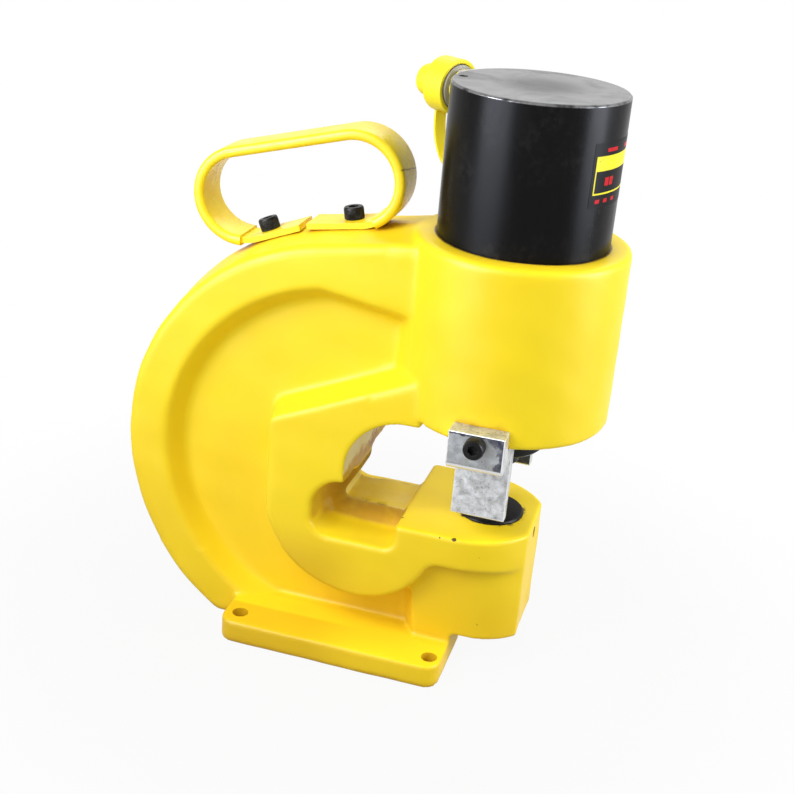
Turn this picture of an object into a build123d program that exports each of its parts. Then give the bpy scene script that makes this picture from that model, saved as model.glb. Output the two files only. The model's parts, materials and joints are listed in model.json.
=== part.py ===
from build123d import *
import math
import os

# Hydraulic hole punch: a cast C-frame with a bolt-down base, a spring-return cylinder over a die,
# two strippers, a carry handle and a capped hydraulic coupler.
# Millimetres, +Z up, +X towards the nose. The origin is the centre of the base bolt pattern on the floor.

# Base flange and its bolt pattern
bolt_hole_d = 11.0
bolt_edge_front = 8.5
bolt_edge_rear = 11.5
bolt_edge_side = 13.0
flange_length = 155.0
flange_width = 148.0
flange_thick = 16.5
flange_corner = 11.0
flange_round = 1.5

# C-shaped body: rim, web and casting draft
punch_x = 86.0
arc_x = -8.0
arc_z = 126.5
rim_r = 155.0
rim_width = 27.5
body_half = 40.0
pocket_depth = 15.0
body_draft = 6.0
top_slope = 9.5
rim_round = 6.0
pocket_draft = 32.0
pocket_turn = 100.0
pocket_front_x = 29.0
pocket_top_drop = 9.0
pocket_foot_x = 52.0
pocket_round = 6.0

# Raised cheek round the throat
cheek_proud = 11.0
cheek_draft = 10.0
cheek_back_x = -57.0
cheek_top_back_z = 162.0
cheek_rise = 24.5
cheek_back_low_z = 92.0
cheek_low_x = 8.0
cheek_low_z = 43.5
cheek_front_r = 53.0
cheek_turn_r = 11.0
cheek_corner_r = 7.0
cheek_round = 3.0
cast_round = 4.0
mouth_round = 5.0
lip_z = 79.5

# Throat and the scoops on both sides of its floor
throat_back_x = -4.0
throat_arc_r = 40.0
throat_roof_drop = 4.5
throat_front_x = 44.5
throat_floor_z = 99.5
throat_heel = 8.0
throat_heel_low = 3.5
throat_heel_rise = 17.5
scoop_back_x = -25.0
scoop_low_z = 84.0
scoop_top_z = 125.0
scoop_crown_r = 14.0
scoop_corner_r = 6.0
scoop_front_r = 8.0
scoop_root = 6.0
ridge_half = 19.0

# Lower jaw
platform_z = 102.4
platform_back_x = 33.4
nose_x = 117.7
lip_arc_x = 73.0
jaw_low_z = 23.0
jaw_back_x = 50.0

# Cylinder boss
boss_r = 68.0
boss_low_z = 179.5
boss_top_z = 294.0
boss_top_round = 4.0
boss_low_round = 1.5

# Cylinder
cylinder_r = 54.0
cylinder_height = 93.3
cylinder_edge = 1.2
spigot_r = 51.0
bore_r = 40.0
cylinder_end = 37.3
boss_floor = 24.5
spanner_hole_d = 6.0
spanner_hole_depth = 4.0
spanner_hole_inset = 6.5
spanner_hole_angle = 182.0

# Ram
rod_r = 30.0
ram_nose = 24.5
piston_height = 30.0
piston_gap = 2.0
piston_clearance = 0.3
seal_groove_r = 33.5
seal_height = 6.5
backup_height = 2.0
wear_height = 8.0
wear_groove_r = 37.0
groove_land = 3.0
ram_edge = 1.5

# Guide, wiper and return spring
bush_wall = 6.0
bush_flange_r = 39.3
bush_flange_thick = 3.0
wiper_height = 4.5
wiper_wall = 4.5
wiper_lip = 1.2
wiper_lip_height = 1.5
spring_wire_d = 6.0
spring_mean_r = 35.0
spring_turns = 9

# Punch and die
punch_shank_r = 14.75
punch_socket_depth = 32.0
punch_screw_height = 12.0
punch_shank_nose = 12.0
punch_cone_height = 4.0
punch_tip_r = 8.6
punch_tip_length = 21.5
die_r = 22.7
die_height = 26.0
die_proud = 2.0
die_hole_clearance = 0.3
die_land = 10.0
die_relief_r = 11.0
die_groove_depth = 1.2
die_groove_height = 5.0
die_edge = 1.0
die_screw_depth = 10.4
slug_hole_r = 12.5

# Screws: M8 socket heads and set screws
screw_r = 4.0
head_r = 6.5
head_height = 8.0
head_edge = 0.7
hex_key = 6.0
hex_depth = 4.0
set_hex_key = 4.0
set_recess = 1.5

# Strippers
stripper_width = 35.0
stripper_block = 14.0
stripper_hang = 13.5
stripper_rise = 12.7
stripper_seat_y = 66.0
stripper_foot_y = 40.0
stripper_foot = 8.0
stripper_foot_z = 120.0
stripper_screw_drop = 7.0
stripper_screw_length = 30.0
stripper_edge = 1.0

# Carry handle and its grip sleeve
strap_width = 25.0
strap_thick = 4.0
bend_r = 31.0
front_bend_shift = 18.6
rear_bend_shift = -17.8
rear_seat_slope = 22.5
seat_cut = 0.7
front_foot_length = 36.0
rear_foot_length = 32.0
handle_screw_setback = 7.2
handle_screw_length = 20.0
grip_wall = 1.1
grip_start = 20.0

# Hydraulic coupler, on a level axis from the cylinder's top end
coupler_angle = 150.0
coupler_drop = 13.7
port_r = 8.0
port_depth = 13.0
passage_r = 3.0
passage_reach = 25.0
spotface_r = 12.4
spotface_depth = 1.6
seal_washer_r = 11.6
seal_washer_thick = 2.0
adapter_hex = 24.0
adapter_hex_length = 7.0
adapter_stud_r = 7.0
adapter_stud_length = 4.0
neck_r = 10.0
neck_length = 4.0
collar_r = 12.5
collar_length = 2.5
coupler_thread_r = 14.0
coupler_thread_length = 8.0
coupler_tip_r = 10.5
coupler_tip_length = 4.0
valve_bore_r = 6.5
valve_mouth_r = 4.0
valve_mouth_length = 2.5
poppet_head_length = 3.0
poppet_stem_r = 2.2
poppet_stem_length = 8.0
poppet_travel = 2.0
poppet_nose_clearance = 0.6
valve_wire_d = 0.8
valve_spring_r = 4.3
valve_spring_turns = 3

# Dust cap and its strap
cap_r = 17.3
cap_skirt_length = 14.0
cap_end_thick = 2.5
cap_knob_r = 10.0
cap_knob_length = 14.5
cap_knob_round = 4.0
cap_clearance = 0.4
cap_round = 2.0
cap_strap_reach = 1.0
cap_strap_width = 9.0
cap_strap_thick = 1.6
cap_strap_drop = 38.0
cap_ring_wall = 3.0

# Fits
slide_clearance = 0.05
fit_clearance = 0.02
screw_clearance = 0.05
screw_hole_clearance = 0.5
seat_gap = 0.3
overcut = 30.0

# Places that follow from the sizes above
bolt_span_x = flange_length - bolt_edge_front - bolt_edge_rear
bolt_span_y = flange_width - 2 * bolt_edge_side
flange_shift = (bolt_edge_front - bolt_edge_rear) / 2
web_half = body_half - pocket_depth
cheek_half = body_half + cheek_proud
throat_top_z = boss_low_z - throat_roof_drop
boss_floor_z = boss_low_z + boss_floor
cylinder_top_z = boss_top_z + cylinder_height
bore_top_z = cylinder_top_z - cylinder_end
coupler_z = cylinder_top_z - coupler_drop
ram_low_z = boss_low_z - ram_nose
punch_screw_z = ram_low_z + punch_screw_height
punch_shank_low_z = ram_low_z - punch_shank_nose
punch_tip_z = punch_shank_low_z - punch_tip_length
die_screw_z = platform_z - die_screw_depth
stripper_low_z = boss_low_z - stripper_hang
stripper_top_z = boss_low_z + stripper_rise
stripper_screw_z = stripper_top_z - stripper_screw_drop
piston_low_z = bore_top_z - piston_gap - piston_height
bush_low_z = boss_low_z + wiper_height
spring_low_z = boss_floor_z + bush_flange_thick + seat_gap
spring_high_z = piston_low_z - seat_gap
die_top_z = platform_z + die_proud
die_low_z = die_top_z - die_height
crown_r = rim_r + body_half * math.tan(math.radians(body_draft))
bush_inner_r = rod_r + slide_clearance
bush_outer_r = bush_inner_r + bush_wall
wiper_outer_r = bush_inner_r + wiper_wall
port_face = cylinder_r - spotface_depth
coupler_low = port_face + seal_washer_thick + adapter_hex_length
coupler_high = coupler_low + neck_length + collar_length + coupler_thread_length + coupler_tip_length


def polar(centre, radius, degrees):
    """A point on a circle of the XZ outline plane."""
    angle = math.radians(degrees)
    return (centre[0] + radius * math.cos(angle), centre[1] + radius * math.sin(angle))


def along(point, degrees, distance):
    """The point a distance away in a direction of the XZ outline plane."""
    return polar(point, distance, degrees)


def across(face, half_width):
    """An XZ outline thickened evenly about the parting plane."""
    return Rot(90, 0, 0) * extrude(face, amount=half_width, both=True)


def both_sides(near):
    """A shape on the near side together with its mirror image on the far side."""
    return near + mirror(near, about=Plane.XZ)


def turned(points, axis_x=0.0):
    """A closed half outline of radius and height points, revolved about a vertical axis."""
    outline = make_face(Polyline(*[(r, 0, z) for r, z in points], close=True))
    return Pos(axis_x, 0, 0) * revolve(outline, axis=Axis.Z)


def ring(inner_r, outer_r, low_z, high_z):
    """A plain ring about the Z axis."""
    return turned([(inner_r, low_z), (outer_r, low_z), (outer_r, high_z), (inner_r, high_z)])


def rod(radius, low_z, high_z):
    """A plain cylinder on the Z axis."""
    return Pos(0, 0, low_z) * Cylinder(radius, high_z - low_z, align=(Align.CENTER, Align.CENTER, Align.MIN))


def hexagon(across_flats, low_z, high_z):
    """A hexagonal prism on the Z axis."""
    face = RegularPolygon(across_flats / 2, 6, major_radius=False)
    return Pos(0, 0, low_z) * extrude(face, amount=high_z - low_z)


def socket_screw(length):
    """A socket head screw with its head's seat at the origin and its shank along -Z."""
    head = rod(head_r, 0, head_height)
    head = chamfer(head.edges().sort_by(Axis.Z)[-1], head_edge)
    return head + rod(screw_r, -length, 0) - hexagon(hex_key, head_height - hex_depth, head_height)


def set_screw(length):
    """A set screw from the origin along -Z, with its hexagon socket at the origin."""
    return rod(screw_r, -length, 0) - hexagon(set_hex_key, -hex_depth, 0)


def coil(wire_d, mean_r, low_z, high_z, turns):
    """A compression spring of one closed turn at each end, swept along biarcs of a quarter turn."""
    closed_pitch = wire_d + 0.6
    first = low_z + wire_d / 2
    last = high_z - wire_d / 2
    open_pitch = (last - first - 2 * closed_pitch) / (turns - 2)
    quarters = 4 * turns

    def height(turn):
        lower = min(turn, 1.0) * closed_pitch
        middle = min(max(turn - 1.0, 0.0), turns - 2.0) * open_pitch
        upper = max(turn - turns + 1.0, 0.0) * closed_pitch
        return first + lower + middle + upper

    def point(turn):
        angle = 2 * math.pi * turn
        return Vector(mean_r * math.cos(angle), mean_r * math.sin(angle), height(turn))

    def tangent(turn):
        angle = 2 * math.pi * turn
        step = 0.125
        before = max(turn - step, 0.0)
        after = min(turn + step, float(turns))
        climb = (height(after) - height(before)) / (after - before) / (2 * math.pi)
        return Vector(-mean_r * math.sin(angle), mean_r * math.cos(angle), climb).normalized()

    edges = []
    for quarter in range(quarters):
        start, end = quarter / 4, (quarter + 1) / 4
        p, q, t, u = point(start), point(end), tangent(start), tangent(end)
        chord, both = q - p, t + u
        spread = 2 * (1 - t.dot(u))
        reach = (math.sqrt(chord.dot(both) ** 2 + spread * chord.dot(chord)) - chord.dot(both)) / spread
        middle = ((p + t * reach) + (q - u * reach)) * 0.5
        edges.append(TangentArc(p, middle, tangent=t))
        edges.append(TangentArc(middle, q, tangent=middle_tangent(p, q, t, u, reach)))
    path = Wire(edges)
    section = Plane(origin=path @ 0, z_dir=path % 0) * Circle(wire_d / 2)
    steps = 24
    points = [path @ (i / (steps * turns)) for i in range(steps * turns + 1)]
    pairs = ((p, q) for i, p in enumerate(points) for q in points[i + steps // 2:])
    gap = min((q - p).length for p, q in pairs) - wire_d
    print(f"coil of {wire_d} mm wire: least gap between turns {gap:.2f} mm, length {path.length:.1f} mm")
    return sweep(section, path=path)


def middle_tangent(p, q, t, u, reach):
    """The direction in which a biarc passes through its joint."""
    return ((q - u * reach) - (p + t * reach)).normalized()


def outline(*edges):
    """A face from edges that follow each other anticlockwise in the XY sketch plane."""
    return make_face(list(edges)).face()


def body_slab():
    """The C body at its full width: round back, sloping top, walls drafted from the parting plane."""
    centre = (arc_x, arc_z)
    below = 2 * (crown_r - rim_r)
    foot = (arc_x - math.sqrt(crown_r ** 2 - (arc_z + below) ** 2), -below)
    crest = polar(centre, crown_r, 90 + top_slope)
    front_top = along(crest, top_slope, (punch_x - crest[0]) / math.cos(math.radians(top_slope)))
    face = outline(
        Polyline(foot, (punch_x, -below), front_top, crest),
        ThreePointArc(crest, (arc_x - crown_r, arc_z), foot),
    )
    half = extrude(face, amount=body_half, taper=body_draft)
    rim_edges = half.faces().sort_by(Axis.Z)[-1].edges()
    rim_edges = rim_edges.filter_by(lambda e: e.center().Y > 0 and e.center().X < throat_front_x)
    half = fillet(rim_edges, rim_round)
    return both_sides(Rot(90, 0, 0) * half)


def web_pockets():
    """The tools that sink the panels between the rim and the cheek, on both sides."""
    centre = (arc_x, arc_z)
    inner_r = rim_r - rim_width
    turn = polar(centre, inner_r, pocket_turn)
    low = (arc_x, arc_z - inner_r)
    inside_x = (cheek_back_x + throat_back_x) / 2
    face = outline(
        Polyline(
            low,
            (pocket_foot_x, low[1]),
            (pocket_foot_x - pocket_round, cheek_low_z + flange_thick),
            (inside_x, lip_z),
            (inside_x, cheek_top_back_z),
            (pocket_front_x, throat_top_z),
            (pocket_front_x, turn[1] - pocket_top_drop),
            turn,
        ),
        ThreePointArc(turn, (arc_x - inner_r, arc_z), low),
    )
    tool = extrude(face, amount=body_half - web_half, taper=pocket_draft)
    tool = fillet(tool.faces().sort_by(Axis.Z)[-1].edges(), pocket_round)
    return both_sides(Rot(90, 0, 0) * Pos(0, 0, body_half) * mirror(tool, about=Plane.XY))


def nose_plan(half_width, arc_centre_x, back_x, low_z, high_z):
    """The lower jaw's plan: straight sides, a round end and a flat nose."""
    tip_y = math.sqrt(half_width ** 2 - (nose_x - arc_centre_x) ** 2)
    side = polar((arc_centre_x, 0), half_width, 60)
    face = outline(
        Polyline((back_x, half_width), (back_x, -half_width), (arc_centre_x, -half_width)),
        ThreePointArc((arc_centre_x, -half_width), (side[0], -side[1]), (nose_x, -tip_y)),
        Line((nose_x, -tip_y), (nose_x, tip_y)),
        ThreePointArc((nose_x, tip_y), side, (arc_centre_x, half_width)),
        Line((arc_centre_x, half_width), (back_x, half_width)),
    )
    return Pos(0, 0, low_z) * extrude(face, amount=high_z - low_z)


def cheek():
    """The raised cheek round the throat, running into the lip of the lower jaw."""
    back_low = (cheek_back_x, cheek_back_low_z)
    back_top = (cheek_back_x, cheek_top_back_z)
    front_top_z = cheek_top_back_z + (punch_x - cheek_back_x) * math.tan(math.radians(cheek_rise))
    low = (cheek_low_x, cheek_low_z)
    bowl = (cheek_low_x, cheek_low_z + cheek_front_r)
    turn_z = lip_z - cheek_turn_r
    reach = cheek_front_r + cheek_turn_r
    turn = (cheek_low_x + math.sqrt(reach ** 2 - (bowl[1] - turn_z) ** 2), turn_z)
    lean = math.degrees(math.asin((turn_z - bowl[1]) / reach))
    meet = polar(bowl, cheek_front_r, lean)
    past_nose = nose_x + cheek_round
    gap_z = throat_top_z - throat_arc_r
    face = outline(
        ThreePointArc(low, polar(bowl, cheek_front_r, (lean - 90) / 2), meet),
        ThreePointArc(meet, polar(turn, cheek_turn_r, 90 + (90 + lean) / 2), (turn[0], lip_z)),
        Polyline((turn[0], lip_z), (past_nose, lip_z), (past_nose, gap_z), (punch_x, gap_z)),
        Polyline((punch_x, gap_z), (punch_x, front_top_z), back_top, back_low),
        TangentArc(low, back_low, tangent=(-1, 0)),
    )
    back_corners = face.vertices().filter_by(lambda v: v.X < cheek_back_x + 0.01)
    face = fillet(back_corners, cheek_corner_r).face()
    root_y = web_half - 1
    spread = (cheek_half - root_y) * math.tan(math.radians(cheek_draft))
    root = offset(face, amount=spread, kind=Kind.INTERSECTION)
    half = extrude(root, amount=cheek_half - root_y, taper=cheek_draft)
    return both_sides(Rot(90, 0, 0) * Pos(0, 0, root_y) * half)


def throat():
    """The gap of the C: a flat floor step, a round back and a flat roof, cut right through."""
    past = nose_x + overcut
    roof = (throat_back_x + throat_arc_r, throat_top_z)
    arc = (throat_back_x + throat_arc_r, throat_top_z - throat_arc_r)
    heel_x = throat_back_x - throat_heel
    step = (platform_back_x, throat_floor_z)
    face = outline(
        Polyline((heel_x, throat_floor_z), step, (platform_back_x, platform_z)),
        Polyline((platform_back_x, platform_z), (past, platform_z), (past, boss_low_z)),
        Polyline((past, boss_low_z), (throat_front_x, boss_low_z), (throat_front_x, throat_top_z), roof),
        ThreePointArc(roof, polar(arc, throat_arc_r, 135), (throat_back_x, arc[1])),
        Polyline(
            (throat_back_x, arc[1]),
            (throat_back_x, throat_floor_z + throat_heel_rise),
            (heel_x, throat_floor_z + throat_heel_low),
            (heel_x, throat_floor_z),
        ),
    )
    return across(face, boss_r)


def scoops():
    """The hollows left and right of the ridge on the throat's floor."""
    length = platform_back_x - scoop_back_x
    height = scoop_top_z - scoop_low_z
    face = Pos(scoop_back_x + length / 2, scoop_low_z + height / 2) * Rectangle(length, height)
    rounds = [
        ((scoop_back_x, scoop_low_z, 0), scoop_corner_r),
        ((platform_back_x, scoop_low_z, 0), scoop_front_r),
        ((scoop_back_x, scoop_top_z, 0), scoop_crown_r),
    ]
    for corner, radius in rounds:
        face = fillet(face.vertices().sort_by_distance(corner)[0], radius)
    tool = extrude(face, amount=boss_r)
    root = tool.faces().sort_by(Axis.Z)[0].edges()
    root = root.filter_by(lambda e: e.center().X < platform_back_x - 0.01 and e.center().Y < scoop_top_z - 0.01)
    tool = fillet(root, scoop_root)
    return both_sides(Rot(90, 0, 0) * Pos(0, 0, ridge_half) * tool)


def seat_plane(crown_point, slope, shift):
    """A plane on a handle seat: X runs up the slope, Z leaves the casting, the bend starts at the origin."""
    direction = (math.cos(math.radians(slope)), 0, math.sin(math.radians(slope)))
    normal = (-direction[2], 0, direction[0])
    base = Vector(crown_point[0], 0, crown_point[1])
    origin = base + Vector(*direction) * shift - Vector(*normal) * seat_cut
    return Plane(origin=origin, x_dir=direction, z_dir=normal)


front_seat = seat_plane(polar((arc_x, arc_z), crown_r, 90 + top_slope), top_slope, front_bend_shift)
rear_seat = seat_plane(polar((arc_x, arc_z), crown_r, 90 + rear_seat_slope), rear_seat_slope, rear_bend_shift)
coupler_axis = (math.cos(math.radians(coupler_angle)), math.sin(math.radians(coupler_angle)), 0)
coupler_plane = Plane(origin=(punch_x, 0, coupler_z), x_dir=(0, 0, 1), z_dir=coupler_axis)
punch_axis = Pos(punch_x, 0, 0)


def nose_axis(from_x, height):
    """A place on the middle plane whose Z runs along +X."""
    return Plane(origin=(from_x, 0, height), x_dir=(0, 1, 0), z_dir=(1, 0, 0)).location


def handle_screw_places():
    """The two handle screws, on top of the bar's feet."""
    return [
        front_seat.location * Pos(-handle_screw_setback, 0, strap_thick),
        rear_seat.location * Pos(handle_screw_setback, 0, strap_thick),
    ]


def stripper_screw_places():
    """The two stripper screws, on the strippers' outer faces."""
    outer_y = stripper_seat_y + stripper_block
    near = Plane(origin=(punch_x, -outer_y, stripper_screw_z), x_dir=(1, 0, 0), z_dir=(0, -1, 0)).location
    far = Plane(origin=(punch_x, outer_y, stripper_screw_z), x_dir=(1, 0, 0), z_dir=(0, 1, 0)).location
    return [near, far]


def on_sides(solid, half_width):
    """The edges whose middles lie at a distance from the parting plane, on both sides of it."""
    return solid.edges().filter_by(lambda e: abs(abs(e.center().Y) - half_width) < 0.01)


def casting():
    """The casting before it is machined."""
    body = body_slab() - web_pockets()
    mouth = on_sides(body, body_half).filter_by(
        lambda e: e.geom_type == GeomType.CIRCLE
        and abs(e.radius - rim_r + rim_width) < 0.01
        or e.geom_type == GeomType.LINE
        and e.center().Z > boss_low_z
        and e.tangent_at(0).X * e.tangent_at(0).Z < 0
        and abs(e.tangent_at(0).Z) < 0.5
    )
    body = fillet(mouth, mouth_round)
    raised = cheek() & nose_plan(cheek_half, lip_arc_x, -2 * rim_r, 0, boss_top_z)
    brow = on_sides(raised, cheek_half).filter_by(lambda e: e.center().X < lip_arc_x)
    raised = fillet(brow, cheek_round)
    jaw = nose_plan(body_half, punch_x, jaw_back_x, jaw_low_z, platform_z)
    plan = RectangleRounded(flange_length, flange_width, flange_corner)
    flange = Pos(flange_shift, 0, 0) * extrude(plan, amount=flange_thick)
    flange = fillet(flange.edges().group_by(Axis.Z)[-1], flange_round)
    boss = punch_axis * rod(boss_r, boss_low_z, boss_top_z)
    boss = fillet(boss.edges().sort_by(Axis.Z)[-1], boss_top_round)
    boss = fillet(boss.edges().sort_by(Axis.Z)[0], boss_low_round)
    solid = body + raised + jaw + flange + boss
    tall = 2 * boss_top_z
    solid -= Box(tall, tall, tall, align=(Align.CENTER, Align.CENTER, Align.MAX))
    solid -= Pos(0, 0, boss_top_z) * Box(tall, tall, tall, align=(Align.CENTER, Align.CENTER, Align.MIN))
    under_nose = Box(tall, tall, jaw_low_z, align=(Align.MIN, Align.CENTER, Align.MIN))
    solid -= Pos(flange_shift + flange_length / 2, 0, 0) * under_nose
    solid = solid - throat() - scoops()
    root = on_sides(solid, web_half).filter_by(
        lambda e: cheek_back_x - cheek_corner_r < e.center().X < pocket_front_x
        and flange_thick + cheek_round < e.center().Z < boss_low_z + cheek_turn_r
    )
    under_lip = on_sides(solid, body_half).filter_by(
        lambda e: cheek_low_z + cheek_turn_r < e.center().Z < lip_z and e.center().X > throat_front_x
    )
    solid = fillet(root + under_lip, cast_round)
    scoop_rim = on_sides(solid, cheek_half).filter_by(
        lambda e: scoop_back_x - 1 < e.center().X < platform_back_x - 1
        and scoop_low_z - 1 < e.center().Z < scoop_top_z
        and e.length > cheek_round
    )
    return fillet(scoop_rim, cheek_round)


def c_frame():
    """The casting with its bores, seats and threaded holes."""
    solid = casting()
    solid -= punch_axis * rod(spigot_r + slide_clearance, boss_floor_z, boss_top_z + overcut)
    solid -= punch_axis * rod(bush_outer_r + fit_clearance, bush_low_z, boss_floor_z)
    groove_low_z = boss_low_z + wiper_lip_height
    solid -= punch_axis * rod(wiper_outer_r + fit_clearance, groove_low_z, bush_low_z)
    solid -= punch_axis * rod(bush_inner_r + wiper_lip + seat_gap, boss_low_z - overcut, groove_low_z)
    solid -= punch_axis * rod(die_r + slide_clearance, die_low_z, platform_z + overcut)
    solid -= punch_axis * rod(slug_hole_r, 0, die_low_z)
    solid -= nose_axis(punch_x, die_screw_z) * rod(screw_r + screw_clearance, 0, nose_x)
    flat = Box(2 * boss_r, overcut, overcut, align=(Align.CENTER, Align.MAX, Align.MAX))
    solid -= both_sides(Pos(punch_x, -stripper_seat_y, stripper_top_z + seat_gap) * flat)
    grip = stripper_screw_length - stripper_block + screw_r
    for place in stripper_screw_places():
        solid -= place * Pos(0, 0, -stripper_block) * rod(screw_r + screw_clearance, -grip, 0)
    upward = (Align.CENTER, Align.CENTER, Align.MIN)
    pad = Box(2 * front_foot_length, strap_width + strap_thick, overcut, align=upward)
    for seat, middle in ((front_seat, -front_bend_shift), (rear_seat, -rear_bend_shift)):
        solid -= seat.location * Pos(middle, 0, 0) * pad
    depth = handle_screw_length - strap_thick + screw_r
    for place in handle_screw_places():
        solid -= place * Pos(0, 0, -strap_thick) * rod(screw_r + screw_clearance, -depth, 0)
    for x in (-bolt_span_x / 2, bolt_span_x / 2):
        for y in (-bolt_span_y / 2, bolt_span_y / 2):
            solid -= Pos(x, y, 0) * rod(bolt_hole_d / 2, 0, flange_thick)
    return solid


def cylinder_body():
    """The closed cylinder with its spigot in the boss and the oil port at its top end."""
    solid = punch_axis * rod(cylinder_r, boss_top_z, cylinder_top_z)
    solid = chamfer(solid.edges().sort_by(Axis.Z)[-1], cylinder_edge)
    solid += punch_axis * rod(spigot_r, boss_floor_z + seat_gap, boss_top_z)
    solid -= punch_axis * rod(bore_r, boss_floor_z, bore_top_z)
    solid -= coupler_plane.location * rod(spotface_r, port_face, cylinder_r + overcut)
    solid -= coupler_plane.location * rod(port_r, port_face - port_depth, port_face)
    solid -= coupler_plane.location * rod(passage_r, passage_reach, port_face)
    entry = Vector(*coupler_axis) * passage_reach
    solid -= Pos(punch_x + entry.X, entry.Y, 0) * rod(passage_r, bore_top_z - passage_r, coupler_z)
    spanner = polar((punch_x, 0), cylinder_r - spanner_hole_inset, spanner_hole_angle)
    solid -= Pos(*spanner, 0) * rod(spanner_hole_d / 2, cylinder_top_z - spanner_hole_depth, cylinder_top_z)
    return solid


def piston_ram():
    """Piston and rod in one piece, with the punch socket in its lower end."""
    piston_r = bore_r - piston_clearance
    piston_top_z = piston_low_z + piston_height
    wear_low = piston_low_z + groove_land
    seal_low = wear_low + wear_height + groove_land
    seal_high = seal_low + seal_height + backup_height
    socket_r = punch_shank_r + slide_clearance
    socket_top_z = ram_low_z + punch_socket_depth
    solid = turned(
        [
            (socket_r, ram_low_z),
            (rod_r - ram_edge, ram_low_z),
            (rod_r, ram_low_z + ram_edge),
            (rod_r, piston_low_z),
            (piston_r, piston_low_z),
            (piston_r, wear_low),
            (wear_groove_r, wear_low),
            (wear_groove_r, wear_low + wear_height),
            (piston_r, wear_low + wear_height),
            (piston_r, seal_low),
            (seal_groove_r, seal_low),
            (seal_groove_r, seal_high),
            (piston_r, seal_high),
            (piston_r, piston_top_z - ram_edge),
            (piston_r - ram_edge, piston_top_z),
            (0, piston_top_z),
            (0, socket_top_z),
            (socket_r, socket_top_z),
        ],
        punch_x,
    )
    return solid - nose_axis(punch_x, punch_screw_z) * rod(screw_r + screw_clearance, 0, rod_r + ram_edge)


def groove_ring(groove_r, low_z, height):
    """A ring that fills a piston groove and bears on the cylinder's bore."""
    return punch_axis * ring(groove_r + fit_clearance, bore_r - fit_clearance, low_z, low_z + height)


def piston_wear_ring():
    low_z = piston_low_z + groove_land + fit_clearance
    return groove_ring(wear_groove_r, low_z, wear_height - 2 * fit_clearance)


def piston_seal():
    low_z = piston_low_z + 2 * groove_land + wear_height + backup_height
    return groove_ring(seal_groove_r, low_z + fit_clearance, seal_height - 2 * fit_clearance)


def piston_backup_ring():
    low_z = piston_low_z + 2 * groove_land + wear_height
    return groove_ring(seal_groove_r, low_z + fit_clearance, backup_height - 2 * fit_clearance)


def ram_guide_bush():
    """The bronze guide; its flange is the seat of the return spring."""
    high_z = boss_floor_z + bush_flange_thick
    return turned(
        [
            (bush_inner_r, bush_low_z),
            (bush_outer_r, bush_low_z),
            (bush_outer_r, boss_floor_z),
            (bush_flange_r, boss_floor_z),
            (bush_flange_r, high_z),
            (bush_inner_r, high_z),
        ],
        punch_x,
    )


def rod_wiper():
    """The wiper in its groove, with the lip that scrapes the rod."""
    groove_low_z = boss_low_z + wiper_lip_height + fit_clearance
    return turned(
        [
            (bush_inner_r, boss_low_z + seat_gap),
            (bush_inner_r + wiper_lip, boss_low_z + seat_gap),
            (bush_inner_r + wiper_lip, groove_low_z),
            (wiper_outer_r, groove_low_z),
            (wiper_outer_r, bush_low_z - fit_clearance),
            (bush_inner_r, bush_low_z - fit_clearance),
        ],
        punch_x,
    )


def return_spring():
    return punch_axis * coil(spring_wire_d, spring_mean_r, spring_low_z, spring_high_z, spring_turns)


def punch():
    """The punch: a shank in the ram's socket, a short cone and the cutting end."""
    return turned(
        [
            (0, punch_tip_z),
            (punch_tip_r, punch_tip_z),
            (punch_tip_r, punch_shank_low_z - punch_cone_height),
            (punch_shank_r, punch_shank_low_z),
            (punch_shank_r, ram_low_z + punch_socket_depth - seat_gap),
            (0, ram_low_z + punch_socket_depth - seat_gap),
        ],
        punch_x,
    )


def punch_set_screw():
    length = rod_r - set_recess - punch_shank_r - slide_clearance
    return nose_axis(punch_x + rod_r - set_recess, punch_screw_z) * set_screw(length)


def die():
    """The die in the lower jaw: a cutting hole with relief below and a groove for the set screw."""
    hole_r = punch_tip_r + die_hole_clearance
    groove_r = die_r - die_groove_depth
    groove_low = die_screw_z - die_groove_height / 2
    groove_high = die_screw_z + die_groove_height / 2
    return turned(
        [
            (die_relief_r, die_low_z),
            (die_r, die_low_z),
            (die_r, groove_low),
            (groove_r, groove_low),
            (groove_r, groove_high),
            (die_r, groove_high),
            (die_r, die_top_z - die_edge),
            (die_r - die_edge, die_top_z),
            (hole_r, die_top_z),
            (hole_r, die_top_z - die_land),
            (die_relief_r, die_top_z - die_land),
        ],
        punch_x,
    )


def die_set_screw():
    length = nose_x - set_recess - punch_x - die_r - slide_clearance
    return nose_axis(nose_x - set_recess, die_screw_z) * set_screw(length)


def near_stripper():
    """A stripper: a block on the boss and a foot that holds the sheet down beside the punch."""
    seat_y = stripper_seat_y + slide_clearance
    outer_y = stripper_seat_y + stripper_block
    top_of_foot = boss_low_z - seat_gap
    profile = Polyline(
        (-outer_y, stripper_low_z),
        (-stripper_foot_y - stripper_foot, stripper_low_z),
        (-stripper_foot_y - stripper_foot, stripper_foot_z),
        (-stripper_foot_y, stripper_foot_z),
        (-stripper_foot_y, top_of_foot),
        (-seat_y, top_of_foot),
        (-seat_y, stripper_top_z),
        (-outer_y, stripper_top_z),
        close=True,
    )
    start = Plane(origin=(punch_x - stripper_width / 2, 0, 0), x_dir=(0, 1, 0), z_dir=(1, 0, 0))
    solid = start.location * extrude(make_face(profile), amount=stripper_width)
    corners = solid.edges().filter_by(Axis.X).filter_by(lambda e: e.center().Z < stripper_low_z - 1)
    solid = chamfer(corners, stripper_edge)
    return solid - stripper_screw_places()[0] * rod(screw_r + screw_hole_clearance, -stripper_block, 0)


def far_stripper():
    return mirror(near_stripper(), about=Plane.XZ)


def stripper_screws():
    return Compound([place * socket_screw(stripper_screw_length) for place in stripper_screw_places()])


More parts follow.
